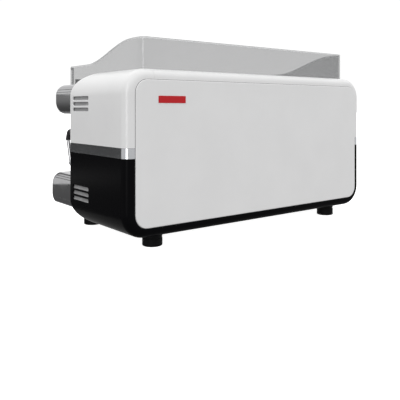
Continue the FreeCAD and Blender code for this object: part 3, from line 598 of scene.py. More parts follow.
def slot_cutter(y0, y1, z):
    """Rounded slot that flares by 1 mm where it meets the cover's face."""
    face = span("side_cover_upper_right")[1][0]
    section = rectangle(y0, y1, z - 5.25, z + 5.25, 5.2)
    return slab(section, [face - 20, face - 1.6, face - 0.6, face + 0.4], [0, 0, -0.5, -1.3], "yz")


def louvre(y0, y1, z):
    """Blade behind a slot: from its lower lip it curves in and up, x = face - 1 - 4.5 sin(a) and z rising
    as 1 - cos(a)."""
    face = span("side_cover_upper_right")[1][0]
    a = np.linspace(0, np.pi / 2, 10)
    x, up = face - 1.0 - 4.5 * np.sin(a), z - 5.6 + 12 * (1 - np.cos(a))
    outline = np.concatenate([np.stack([x, up], axis=1), np.stack([x - 0.9, up + 0.5], axis=1)[::-1]])
    rings = [place(outline[:, 0], outline[:, 1], y, "xz") for y in (y0 - 2, y0, y1, y1 + 2)]
    return loft(rings)


class BuildCovers(bpy.types.Operator):
    """Side covers, the bright bands between them and the two rear rails"""

    bl_idname = "machine.covers"
    bl_label = "Covers"

    def execute(self, context):
        look = finishes()
        white = enamel("cover_white", look.cover, look.gloss, 0.15, 0.00002)
        black = enamel("shell_black", look.shell, 0.22, 0.0, 0.00002, 0.02)
        bright = brushed("band_bright", look.trim, 0.17, (1, 40, 1), 0.000006)
        middle = (span("side_cover_upper_right")[1][2] + span("side_cover_lower_right")[0][2]) / 2
        upper_z = span("side_cover_upper_right")[0][2]
        lower_z = 2 * middle - span("side_cover_lower_right")[1][2]
        band = span("side_bands")
        edge, side = span("side_cover_upper_right")[0][0], span("side_cover_upper_right")[1][0]
        well = 437.0
        upper = joined(cover_shell(corner_section(upper_z, side, well)),
                       cover_shell(corner_section(upper_z, well - 0.02, edge), 264.0))
        lower = upside_down(cover_shell(corner_section(lower_z, side, edge)), middle)
        vents = span("vent_screens")
        y0, y1 = vents[0][1] + 6, vents[1][1] - 8
        heights = [centre + step for centre in (402.0, 133.0) for step in (-17, 0, 17)]
        cutters = joined(*[slot_cutter(y0, y1, z) for z in heights])
        for side, sign in SIDES.items():
            turn = (lambda s: s) if sign > 0 else mirrored
            for part, surface, finish, slot in (("upper", upper, white, "white_paint"),
                                                ("lower", lower, black, "black_shell")):
                node = f"side_cover_{part}_{side}"
                piece = make_piece(f"cover_{part}_{side}", turn(surface), finish, "machine", slot, [node])
                carve(piece, turn(cutters))
        self.bands(band, bright)
        rail = span("top_rear_rail")
        top = cover_shell(corner_section(upper_z, rail[1][0], rail[0][0]), 264.0)
        make_piece("rail_top", top, white, "machine", "white_paint", ["top_rear_rail"])
        make_piece("rail_bottom", upside_down(top, middle), black, "machine", "black_shell",
                   ["bottom_rear_rail"])
        blades = joined(*[louvre(y0, y1, z) for z in heights])
        grey = moulded("vent_grey", (0.3, 0.3, 0.305), 0.5, 1500.0, 0.000005)
        make_piece("vent_louvres", joined(blades, mirrored(blades)), grey, "machine", "vent_grey",
                   ["vent_screens"])
        return {"FINISHED"}

    def bands(self, band, bright):
        """The strip between two covers, flush with both: the covers' own skirt at its height."""
        size = sizes()
        stations = skirt(span("side_cover_lower_right")[0][1], size.wall / MM, size.rim_radius / MM)
        y, inset = stations.T[:2]
        heights = np.array([band[0][2], band[0][2] + 0.7, band[1][2] - 0.7, band[1][2]])
        x = band[1][0] - inset + 0 * heights[:, None]
        rings = np.stack([x, y + 0 * x, heights[:, None] + 0 * x], axis=-1)
        strip = loft(rings)
        make_piece("cover_bands", joined(strip, mirrored(strip)), bright, "machine", "chrome_trim",
                   ["side_bands"])


class BuildRearPanel(bpy.types.Operator):
    """Rear panel with its softened edge, a dark strip round it as painted shadow in its gap, and the plain
    badge
    """

    bl_idname = "machine.rear_panel"
    bl_label = "Rear panel"

    def execute(self, context):
        look = finishes()
        white = enamel("panel_white", look.cover, look.gloss, 0.15, 0.00002)
        low, high = span("rear_panel")
        back = high[1] - 3
        radius = sizes().panel_radius / MM
        plate = slab(rectangle(low[0], high[0], low[2], high[2], radius),
                     *edges(back, high[1], 0.1, 2.2), "xz")
        make_piece("rear_panel_face", plate, white, "machine", "white_paint", ["rear_panel"])
        # Dark grey strip just larger than the panel, round its edge at the covers' rear face: painted shadow
        # standing in for the shade in the gap round the panel.
        lap = span("side_cover_upper_right")[1][1]
        shadow_gap_strip = slab(rectangle(low[0] - 1.1, high[0] + 1.1, low[2] - 1.1, high[2] + 1.1, radius + 1.1),
                    *edges(lap - 1.5, lap + 0.2, 0.1, 0.1), "xz")
        grey = moulded("shadow_gap_grey", (0.12, 0.12, 0.125), 0.7)
        make_piece("rear_panel_shadow_gap", shadow_gap_strip, grey, "machine", "seal_rubber")
        low, high = span("rear_badge")
        plate = slab(rectangle(low[0], high[0], low[2], high[2], 1.6),
                     *edges(low[1], high[1], 0.05, 0.5), "xz")
        red = enamel("badge_red", look.badge, 0.25, 0.05, 0.00002, 0.2)
        make_piece("badge", plate, red, "machine", "badge_red", ["rear_badge"])
        return {"FINISHED"}


# --- Cup tray ---------------------------------------------------------------
def guard_top(y):
    """Height of the guard: level, then a cubic S with level ends, then level, with a quarter round at
    the nose."""
    low, high = span("cup_guard")
    top, front_top = high[2], sizes().guard_front / MM
    t = np.linspace(0, 1, 60)
    slope_y = 206 + (-64 - 206) * (3 * (1 - t) ** 2 * t / 3 + 3 * (1 - t) * t ** 2 * 2 / 3 + t ** 3)
    slope_z = top + (front_top - top) * (3 * (1 - t) * t ** 2 + t ** 3)
    height = np.interp(y, slope_y[::-1], slope_z[::-1])
    nose = front_top - 10 + np.sqrt(np.maximum(100 - np.maximum(low[1] + 10 - y, 0) ** 2, 0))
    return np.where(y < low[1] + 10, nose, height)


class BuildCupTray(bpy.types.Operator):
    """Slotted cup tray with its black lip, and the clear guard round it"""

    bl_idname = "machine.cup_tray"
    bl_label = "Cup tray and guard"

    def execute(self, context):
        look = finishes()
        floor = span("cup_guard")[0][2]
        paint_nodes(tray_finish("tray_steel", look.steel, (0.012, 0.012, 0.013), floor + 0.3), "cup_tray")
        low, high = span("cup_guard")
        wall = sizes().guard_wall / MM
        tip = high[0] - 13
        plan = [(tip, low[1]), (high[0], low[1]), (high[0], high[1]),
                (low[0], high[1]), (low[0], low[1]), (-tip, low[1])]
        outer, slope = bend(plan, [0, 9, 26, 26, 9, 0], closed=False, steps=14, hold=3.5)
        along = np.concatenate([[0], np.cumsum(np.linalg.norm(np.diff(outer, axis=0), axis=1))])
        stops = np.unique(np.concatenate([along, np.arange(12, along[-1] - 12, 9.0), [3.5, along[-1] - 3.5]]))
        outer = np.stack([np.interp(stops, along, outer[:, k]) for k in (0, 1)], axis=1)
        slope = np.stack([np.interp(stops, along, slope[:, k]) for k in (0, 1)], axis=1)
        slope /= np.linalg.norm(slope, axis=1, keepdims=True)
        inward = np.stack([-slope[:, 1], slope[:, 0]], axis=1)
        shares = np.array([0, 0, 0, 0.12, 0.25, 0.75, 0.88, 1, 1, 1]) * wall
        drops = np.array([1e3, 4.2, 0.9, 0.25, 0, 0, 0.25, 0.9, 4.2, 1e3])
        plan = outer[:, None, :] + inward[:, None, :] * shares[None, :, None]
        top = guard_top(np.clip(plan[..., 1], low[1], None))
        z = np.where(drops > 100, low[2], top - drops)
        surface = loft(np.concatenate([plan, z[..., None]], axis=-1))
        column = np.tile(np.arange(len(shares)), len(stops) - 1)
        row = np.repeat(np.arange(len(stops) - 1), len(shares))
        near_tip = (stops[:-1][row] < 3.4) | (stops[1:][row] > stops[-1] - 3.4)
        # The rim's top face (columns 2 to 6) gets the dark edge finish as painted shade. The strips beside it
        # and at the tips get the lighter, more covering edge finish as a painted highlight. Both stand in for
        # light in the sheet's edge.
        beside = (column == 1) | (column == 7) | near_tip
        painted = np.where((column >= 2) & (column <= 6), 2, np.where(beside, 1, 0))
        painted = np.concatenate([painted, [2, 2]])
        sheet = guard_finish("guard_clear", look.guard, look.guard_cover, 0.08)
        # Painted highlight strip and painted shade rim for the sheet's edge
        bright = guard_finish("guard_edge_painted_highlight", (0.75, 0.76, 0.77), 0.5, 0.2)
        dark = guard_finish("guard_edge_painted_shade", (0.05, 0.052, 0.055), 0.75, 0.2)
        make_piece("guard", surface, [sheet, bright, dark], "machine", "clear_guard", ["cup_guard"],
                   painted, 50)
        return {"FINISHED"}


# --- Console ----------------------------------------------------------------
def console_section(inset):
    """Side view: flat back, and a front whose top and bottom are quarter ellipses."""
    low, high = span("console_end_caps")
    soft = 64 - inset
    z0, z1, front, back = low[2] + inset, high[2] - inset, low[1] + inset, high[1]
    corners = [(back, z0), (back, z1), (front, z1), (front, z0)]
    return bend(corners, [0, 0, soft, 40 - inset], [0, 0, 32 - inset, soft], steps=22)[0]


def tray_section(inset):
    """Side view of the drip tray's surround: its top front is a long quarter ellipse."""
    low, high = span("tray_surround")
    z0, z1, nose, back = low[2] + inset, high[2] - inset, low[1] + inset, high[1]
    corners = [(back, z0), (back, z1), (nose, z1), (nose, z0)]
    return bend(corners, [0, 0, 124 - inset, 30 - inset], [0, 0, 60 - inset, 30 - inset], steps=26)[0]


def domed_end(section, start, end, radius):
    """End of a bar of that section: inset r (1 - cos a) where it has come r sin a along its last r."""
    a = np.linspace(0, np.pi / 2, 14)
    x = np.concatenate([[start, end - radius - 0.6], end - radius + radius * np.sin(a), [end]])
    inset = np.concatenate([[0, 0], radius * (1 - np.cos(a)), [radius + 0.6]])
    return slab(section, x, inset, "yz")


class BuildConsole(bpy.types.Operator):
    """Console between its bright trims and domed ends"""

    bl_idname = "machine.console"
    bl_label = "Console"

    def execute(self, context):
        look = finishes()
        low, high = span("console_panel")
        ends_low, ends_high = span("console_end_caps")
        x0, x1 = low[0], high[0]
        bar = slab(console_section, [x0, x0 + 0.6, x1 - 0.6, x1], [0, 0, 0, 0], "yz")
        front = console_front("console_black", (0.012, 0.012, 0.013), (0.42, 0.43, 0.44),
                              GAUGE_Z, sizes().line_pitch / MM)
        make_piece("console_front", bar, front, "machine", "console_black", ["console_panel"])
        cap = domed_end(console_section, x1, ends_high[0], 8)
        steel = end_finish("console_end_steel", look.steel, 0.05, (448.0, 440.0, 378.0))
        make_piece("console_ends", joined(cap, mirrored(cap)), steel, "machine", "polished_steel",
                   ["console_end_caps"])
        outline = console_section(-0.5)
        trims = []
        for level in ("top", "bottom"):
            top = level == "top"
            close = outline[:, 1] > ends_high[2] - 6.5 if top else outline[:, 1] < ends_low[2] + 6.5
            strip = outline[close & (outline[:, 0] < -60)]
            deep = strip + (2.2, 0)
            ring = np.concatenate([strip, deep[::-1]])
            rings = [place(ring[:, 0], ring[:, 1], x, "yz") for x in (x0, x0 + 1, x1 - 1, x1)]
            trims.append(loft(rings))
        bright = brushed("trim_bright", look.trim, 0.13, (60, 1, 1), 0.000005)
        make_piece("console_trim_strips", joined(*trims), bright, "machine", "chrome_trim", ["console_trims"])
        return {"FINISHED"}


def numeral(text, height, x, z, y):
    """Vertices and faces of a number that faces the barista, centred on (x, z)."""
    curve = bpy.data.curves.new("numeral", "FONT")
    curve.body = text
    curve.size = height * MM
    curve.align_x = "CENTER"
    curve.align_y = "CENTER"
    curve.resolution_u = 3
    lettering = bpy.data.objects.new("numeral", curve)
    bpy.context.scene.collection.objects.link(lettering)
    graph = bpy.context.evaluated_depsgraph_get()
    mesh = bpy.data.meshes.new_from_object(lettering.evaluated_get(graph))
    flat = np.zeros(len(mesh.vertices) * 3)
    mesh.vertices.foreach_get("co", flat)
    flat = flat.reshape(-1, 3) / MM
    faces = [list(p.vertices) for p in mesh.polygons]
    bpy.data.objects.remove(lettering)
    bpy.data.meshes.remove(mesh)
    return np.stack([flat[:, 0] + x, np.full(len(flat), y), flat[:, 1] + z], axis=1), faces


def sector(x, z, inner, outer, start, end, y, thick):
    """Thin ring sector between two angles in degrees, facing the barista."""
    a = np.radians(np.linspace(start, end, max(2, int(abs(end - start) / 4) + 2)))
    radii = np.array([inner, outer, outer, inner])
    depth = np.array([y, y, y - thick, y - thick])
    a = a[:, None]
    rings = np.stack([x + np.cos(a) * radii, depth + 0 * a, z + np.sin(a) * radii], axis=-1)
    return loft(rings)


class BuildGauges(bpy.types.Operator):
    """Gauges: bright cans with bezels, printed dials, lenses and needles"""

    bl_idname = "machine.gauges"
    bl_label = "Gauges"

    def execute(self, context):
        look = finishes()
        bright = polished("bezel_chrome", look.trim, 0.05)
        face = moulded("dial_black", (0.02, 0.02, 0.022), 0.5, 1500.0, 0.00001)
        ink = moulded("dial_ink", (0.75, 0.75, 0.74), 0.5, 1500.0, 0.000005)
        blue = moulded("dial_blue", (0.05, 0.12, 0.42), 0.5, 1500.0, 0.000005)
        red = moulded("dial_red", (0.5, 0.03, 0.03), 0.5, 1500.0, 0.000005)
        cans, dials, lenses, marks, cold, hot = [], [], [], [], [], []
        z = GAUGE_Z
        front = -span("console_panel")[0][1]
        for x, collar, bezel, dial, large in ((-56.7, 23.3, 20.2, 16.6, False), (0.0, 29.0, 25.5, 21.3, True),
                                              (56.7, 23.3, 20.2, 16.6, False)):
            profile = [(0, front - 8), (collar, front - 8), (collar, front + 2.5), (collar - 1.5, front + 4),
                       (bezel + 0.6, front + 4), (bezel, front + 5.5), (bezel, front + 10),
                       (bezel - 1.4, front + 12), (dial + 0.8, front + 12), (dial, front + 9),
                       (dial, front + 4.2), (0, front + 4.2)]
            cans.append(turned(profile, (x, 0, z), (0, -1, 0), 0.7))
            profile = [(0, front + 4.1), (dial - 0.1, front + 4.1), (dial - 0.1, front + 5), (0, front + 5)]
            dials.append(turned(profile, (x, 0, z), (0, -1, 0), 0.1))
            lenses.append(turned([(0, front + 8.4), (dial - 0.1, front + 8.4), (dial - 0.1, front + 9.4),
                                  (0, front + 9.6)], (x, 0, z), (0, -1, 0), 0.1))
            y = -front - 5.05
            start = 213.0
            labels = [str(20 * k) for k in range(7)] if large else ["0", ".5", "1", "1.5", "2", "2.5"]
            fine = (6 if large else 5) * (len(labels) - 1)
            for k in range(fine + 1):
                at = start - 246.0 * k / fine
                major = k % (fine // (len(labels) - 1)) == 0
                inner = dial * (0.80 if major else 0.86)
                width = 1.6 if major else 0.8
                marks.append(sector(x, z, inner, dial * 0.93, at - width / 2, at + width / 2, y, 0.06))
            for k, text in enumerate(labels):
                at = math.radians(start - 246.0 * k / (len(labels) - 1))
                right, up = dial * 0.64 * math.cos(at), dial * 0.64 * math.sin(at)
                marks.append(numeral(text, dial * 0.2, x + right, z + up, y - 0.06))
            if large:
                cold.append(sector(x, z, dial * 0.40, dial * 0.5, 205, 100, y, 0.05))
                hot.append(sector(x, z, dial * 0.40, dial * 0.5, 98, -10, y, 0.05))
            marks.append(sector(x, z, dial * 0.1, dial * 0.16, 0, 359.9, y, 0.05))
        make_piece("gauge_cans", joined(*cans), bright, "machine", "chrome_trim", ["gauge_bodies"])
        make_piece("gauge_faces", joined(*dials), face, "machine", "dial_face", ["gauge_dials"])
        make_piece("gauge_marks", joined(*marks), ink, "machine", "dial_face")
        make_piece("gauge_cold_arc", joined(*cold), blue, "machine", "dial_face")
        make_piece("gauge_hot_arc", joined(*hot), red, "machine", "dial_face")
        glass = guard_finish("lens_clear", (0.9, 0.92, 0.93), 0.06, 0.03)
        make_piece("gauge_lens_discs", joined(*lenses), glass, "machine", "lens_glass", ["gauge_lenses"])
        white = moulded("needle_white", (0.8, 0.8, 0.78), 0.4, 1500.0, 0.000005)
        paint_nodes(white, *["gauge_needle_" + name for name in GROUPS])
        return {"FINISHED"}


class BuildKnobs(bpy.types.Operator):
    """Steam and water knobs, and the mains switch"""

    bl_idname = "machine.knobs"
    bl_label = "Knobs and switch"

    def execute(self, context):
        black = moulded("knob_black", (0.018, 0.018, 0.019), 0.42)
        steel = polished("knob_cap_steel", finishes().steel, 0.12)
        for node in ("steam_knob_right", "steam_knob_left", "hot_water_knob"):
            low, high = span(node)
            x, z, front, base = (low[0] + high[0]) / 2, (low[2] + high[2]) / 2, -low[1], -high[1]
            profile = [(0, base), (6.4, base), (6.4, front - 25), (17.5, front - 25), (20, front - 22.5),
                       (20.9, front - 6), (18.4, front - 0.6), (12.5, front - 0.2), (12, front - 1.2),
                       (0, front - 1.2)]
            grip = turned(profile, (x, 0, z), (0, -1, 0), 1.2, 96, 8, 0.12)
            make_piece(node + "_grip", grip, black, node + "_body", "knob_black", [node])
            cap = turned([(0, front - 1.8), (11, front - 1.8), (11, front - 0.6), (0, front - 0.1)],
                         (x, 0, z), (0, -1, 0), 0.4)
            make_piece(node + "_cap", cap, steel, node + "_body", "polished_steel")
        low, high = span("power_switch")
        x, z = (low[0] + high[0]) / 2, (low[2] + high[2]) / 2
        back, front = -high[1], -low[1]
        profile = [(0, back), (6.4, back), (6.4, front - 18), (17, front - 18), (16.4, front - 12),
                   (0, front - 12)]
        disc = turned(profile, (x, 0, z), (0, -1, 0), 0.8)
        grip = slab(rectangle(x - 5, x + 5, z - 16, z + 16, 4.8), *edges(-front, -front + 13, 1.4, 0.2), "xz")
        pointer = slab(rectangle(x - 0.7, x + 0.7, z + 6, z + 14, 0.6),
                       *edges(-front, -front + 1, 0.1, 0.1), "xz")
        body = "power_switch_body"
        make_piece("switch_grip", joined(disc, grip), black, body, "knob_black", ["power_switch"])
        white = moulded("switch_white", (0.7, 0.7, 0.7), 0.4)
        make_piece("switch_mark", pointer, white, body, "knob_black")
        return {"FINISHED"}


# --- Brewing groups ---------------------------------------------------------
class BuildGroups(bpy.types.Operator):
    """Group covers with their buttons, and the finishes of the heads behind them"""

    bl_idname = "machine.groups"
    bl_label = "Groups"

    def execute(self, context):
        look = finishes()
        steel = polished("group_cover_steel", look.steel, 0.14)
        chrome = polished("group_chrome", look.trim, 0.07)
        low, high = span("group_covers")
        shrouds = []
        for x in GROUPS.values():
            section = rectangle(x - 52, x + 52, low[1], high[1], 21)
            top = edges(low[2], high[2], 0.2, 3.0)
            heights = np.concatenate([[low[2], low[2] + 2.4], top[0][1:]])
            insets = np.concatenate([[6, 2.5], top[1][1:]])
            shrouds.append(slab(section, heights, insets, "xy"))
        make_piece("group_shrouds", joined(*shrouds), steel, "machine", "polished_steel", ["group_covers"])
        paint_nodes(chrome, "group_heads")
        paint_nodes(moulded("gasket_rubber", (0.02, 0.02, 0.02), 0.7), "group_gaskets")
        paint_nodes(brushed("screen_steel", look.steel, 0.25, (20, 1, 1)), "shower_screens")
        button_steel = brushed("button_steel", look.steel, 0.22, (30, 1, 1))
        ring = polished("button_ring", look.trim, 0.08)
        for name, x in GROUPS.items():
            node = "brew_button_" + name
            front = -span(node)[0][1]
            knob = turned([(0, front - 17), (12.3, front - 17), (12.3, front - 13.6), (10.4, front - 13.6),
                           (10.4, front - 1.2), (9, front), (0, front - 0.5)],
                          (x, 0, BUTTON_Z), (0, -1, 0), 0.6)
            make_piece("button_" + name, knob, button_steel, f"button_{name}_body", "button_steel", [node])
            face = -low[1]
            profile = [(10.9, face - 0.5), (13.5, face - 0.5), (13.2, face + 0.9), (10.9, face + 0.9),
                       (10.9, face - 0.5)]
            bezel = turned(profile, (x, 0, BUTTON_Z), (0, -1, 0), 0.2)
            make_piece("button_bezel_" + name, bezel, ring, "machine", "chrome_trim")
        return {"FINISHED"}


class BuildPortafilters(bpy.types.Operator):
    """Filter holders with twin spouts and black grips"""

    bl_idname = "machine.portafilters"
    bl_label = "Filter holders"

    def execute(self, context):
        chrome = polished("holder_chrome", finishes().trim, 0.06)
        black = moulded("grip_black", (0.014, 0.014, 0.015), 0.36)
        for name, x in GROUPS.items():
            body = f"portafilter_{name}_body"
            at = (x, -100.0, 0.0)
            bowl = turned([(0, 284), (18, 284), (22, 285), (29.5, 290), (34.5, 296), (34.5, 304),
                           (34.5, 318.1), (30.2, 318.1), (30.2, 300), (26, 294.2), (0, 294.2)],
                          at, (0, 0, 1), 1.4)
            ring = turned([(34.2, 298.6), (35.3, 299.2), (35.3, 302.2), (34.2, 302.8), (34.2, 298.6)],
                          at, (0, 0, 1), 0.3)
            socket = turned([(0, 276), (8.4, 276), (9.2, 280), (10.5, 284.5), (0, 284.5)], at, (0, 0, 1), 0.8)
            lugs = [slab(rectangle(x + s * 37 - 3.6, x + s * 37 + 3.6, -106, -94, 1.2),
                         *edges(304.5, 310.5, 0.6, 0.6), "xy") for s in (-1, 1)]
            spouts = []
            for s in (-1, 1):
                line = bent_line([(x, -100, 277), (x + s * 16, -100, 272), (x + s * 16, -100, 260)], [4.5])
                spouts.append(tube(line, 4.9, (0, 1, 0), 24))
            droop = math.radians(7.0)
            along = np.array((0, -math.cos(droop), -math.sin(droop)))
            tip = span("portafilter_handle_" + name)[0][1]
            start = np.array((x, tip + 132 * math.cos(droop) + 6 * math.sin(droop), 289.0))
            neck = turned([(0, 0), (8.9, 0), (8.9, 16), (7, 20), (7, 36), (0, 36)],
                          (x, -124, 289), (0, -1, 0), 1.6)
            ferrule = turned([(0, -4), (7, -4), (9.6, -2.2), (9.6, 0.2), (0, 0.2)], start, along, 0.6)
            metal = joined(bowl, ring, socket, neck, ferrule, *lugs, *spouts)
            make_piece("holder_" + name, metal, chrome, body, "chromed_brass", ["portafilter_" + name])
            profile = [(0, 0), (10.4, 0), (11.6, 3), (12.1, 20), (13.2, 40), (15, 66), (16.3, 96),
                       (16.2, 112), (13.6, 124), (8, 131), (0, 132)]
            grip = turned(profile, start, along, 6)
            make_piece("grip_" + name, grip, black, body, "handle_black", ["portafilter_handle_" + name])
            end = turned([(0, 128), (6.5, 128), (6.5, 131.2), (0, 131.7)], start, along, 0.3)
            make_piece("grip_end_" + name, end, chrome, body, "chromed_brass")
        return {"FINISHED"}


class BuildOutlets(bpy.types.Operator):
    """Steam wands with their rubber grips, the hot water spout and the fixed valve bodies"""

    bl_idname = "machine.outlets"
    bl_label = "Steam and water"

    def execute(self, context):
        look = finishes()
        steel = polished("wand_steel", look.steel, 0.08)
        chrome = polished("valve_chrome", look.trim, 0.08)
        rubber = moulded("wand_rubber", (0.012, 0.012, 0.013), 0.55)
        y, z = -122.0, 300.0
        lift = math.radians(20)
        ahead = np.array((0, -math.cos(lift), math.sin(lift)))
        start = np.array((450.0, y, z)) + 14 * ahead
        corners = [start, (450, -166, z + 44 * math.tan(lift)), (450, -178, 286), (450, -156, 212)]
        centres, slopes = bent_line(corners, [12, 22])
        pipe = tube((centres, slopes), 5.4, (1, 0, 0))
        length = np.concatenate([[0], np.cumsum(np.linalg.norm(np.diff(centres, axis=0), axis=1))])
        stops = np.linspace(8, 64, 60)
        sleeve_line = np.stack([np.interp(stops, length, centres[:, k]) for k in range(3)], axis=1)
        sleeve_slope = np.stack([np.interp(stops, length, slopes[:, k]) for k in range(3)], axis=1)
        sleeve_slope /= np.linalg.norm(sleeve_slope, axis=1, keepdims=True)
        edge = np.minimum(stops - stops[0], stops[-1] - stops)
        sleeve_r = 5.7 + 2.1 * np.sqrt(np.clip(1 - (1 - np.clip(edge / 3, 0, 1)) ** 2, 0, 1))
        sleeve = tube((sleeve_line, sleeve_slope), sleeve_r, (1, 0, 0))
        nut = turned([(6, 5), (10.3, 7), (10.3, 17), (7, 21.5), (4, 21.5), (4, 12), (6, 5)],
                     (450, y, z), ahead, 0.6)
        down = np.array((0, 22.0, -74.0)) / math.hypot(22, 74)
        tip = turned([(0, -3), (5.4, -3), (6.6, 0), (6.6, 7), (3, 12.8), (0, 12.8)], corners[-1], down, 1.2)
        for side, sign in SIDES.items():
            turn = (lambda s: s) if sign > 0 else mirrored
            wand, ball = f"wand_{side}_body", f"wand_ball_{side}_body"
            make_piece("wand_pipe_" + side, turn(joined(pipe, nut, tip)), steel, wand, "polished_steel",
                       ["steam_wand_" + side])
            make_piece("wand_grip_" + side, turn(sleeve), rubber, wand, "seal_rubber")
            a = np.linspace(0, np.pi, 24)
            half_circle = np.stack([11.9 * np.sin(a), -11.9 * np.cos(a)], axis=1)
            sphere = turned(half_circle, (450, y, z), (0, 1, 0), 0.1, 48)
            make_piece("wand_joint_" + side, turn(sphere), chrome, ball, "chromed_brass",
                       ["wand_ball_" + side])
        paint_nodes(chrome, "outlet_valves", "service_fittings")
        z = 281.6
        line = bent_line([(352, -96, z - 2), (352, -96, z - 26), (352, -130, z - 40),
                          (352, -130, z - 66)], [14, 14])
        nozzle = turned([(0, 0), (7.6, 0), (8, 2), (8, 10), (7, 12), (0, 12)],
                        (352, -130, z - 62), (0, 0, -1), 0.8)
        collar = turned([(0, 0), (10.8, 0), (10.8, 9), (8, 10), (0, 10)], (352, -96, z), (0, 0, -1), 0.8)
        pipe = joined(tube(line, 5.9, (1, 0, 0)), nozzle, collar)
        make_piece("water_pipe", pipe, steel, "hot_water_spout_body", "polished_steel", ["hot_water_spout"])
        return {"FINISHED"}


# --- Drip tray, base and inside ---------------------------------------------
class BuildDripTray(bpy.types.Operator):
    """Drip tray surround with domed ends, and the finishes of the basin, the grate and the splash panel"""

    bl_idname = "machine.drip_tray"
    bl_label = "Drip tray"

    def execute(self, context):
        look = finishes()
        low, high = span("tray_surround")
        end = high[0]
        start = end - 28
        steel = end_finish("tray_end_steel", look.steel, 0.05, (177.0, 169.0, 161.5, 97.0))
        cap = domed_end(tray_section, start, end, 8)
        make_piece("tray_ends", joined(cap, mirrored(cap)), steel, "machine", "polished_steel",
                   ["tray_surround"])
        section = tray_section(0)
        inner = tray_section(5)
        keep = section[:, 0] < -178
        close = inner[:, 0] < -173
        ring = np.concatenate([section[keep], inner[close][::-1]])
        rings = [place(ring[:, 0], ring[:, 1], x, "yz") for x in (-start, 1 - start, start - 1, start)]
        bottom = slab(rectangle(-start, start, -178, high[1], 0.3),
                      *edges(low[2], low[2] + 5, 0.1, 0.1), "xy")
        front = polished("tray_front_steel", look.steel, 0.1)
        make_piece("tray_front", joined(loft(rings), bottom), front, "machine", "polished_steel")
        basin = brushed("basin_steel", look.steel, 0.28, (40, 1, 1))
        paint_nodes(basin, "drip_basin")
        paint_nodes(brushed("grate_steel", look.steel, 0.24, (1, 40, 1)), "drip_grate")
        paint_nodes(brushed("splash_steel", look.steel, 0.2, (60, 1, 1)), "splash_panel")
        return {"FINISHED"}


class BuildFeet(bpy.types.Operator):
    """Rubber feet with a waist and a ground ring"""

    bl_idname = "machine.feet"
    bl_label = "Feet"

    def execute(self, context):
        rubber = moulded("foot_rubber", (0.005, 0.005, 0.0055), 0.5, shine=0.08)
        profile = [(0, 0), (25.6, 0), (28.4, 1.2), (28.9, 3.5), (28.9, 22), (27.6, 23.4), (27.6, 26),
                   (28.7, 27.4), (28.7, 34.4), (27.2, 35.9), (0, 35.9)]
        spots = [(s * 376.0, y, 0.0) for s in (-1, 1) for y in (225.0, -145.0)]
        feet = joined(*[turned(profile, spot, (0, 0, 1), 0.8) for spot in spots])
        make_piece("foot_pads", feet, rubber, "machine", "foot_rubber", ["feet"])
        return {"FINISHED"}


class FinishInside(bpy.types.Operator):
    """Finishes of the frame, the boiler and the parts behind the covers"""

    bl_idname = "machine.inside"
    bl_label = "Inside"

    def execute(self, context):
        coat = moulded("frame_black", (0.03, 0.03, 0.032), 0.5)
        zinc = brushed("zinc", (0.5, 0.5, 0.48), 0.34, (1, 1, 1))
        copper = brushed("copper", (0.72, 0.36, 0.22), 0.3, (30, 1, 1))
        paint_nodes(coat, "base_frame", "upper_frame")
        paint_nodes(zinc, "base_pan", "boiler_brackets", "cover_screws")
        paint_nodes(copper, "boiler", "heating_element", "copper_pipes")
        paint_nodes(moulded("motor_grey", (0.22, 0.23, 0.25), 0.45), "pump_motor")
        paint_nodes(moulded("box_grey", (0.3, 0.3, 0.31), 0.5), "control_box")
        return {"FINISHED"}


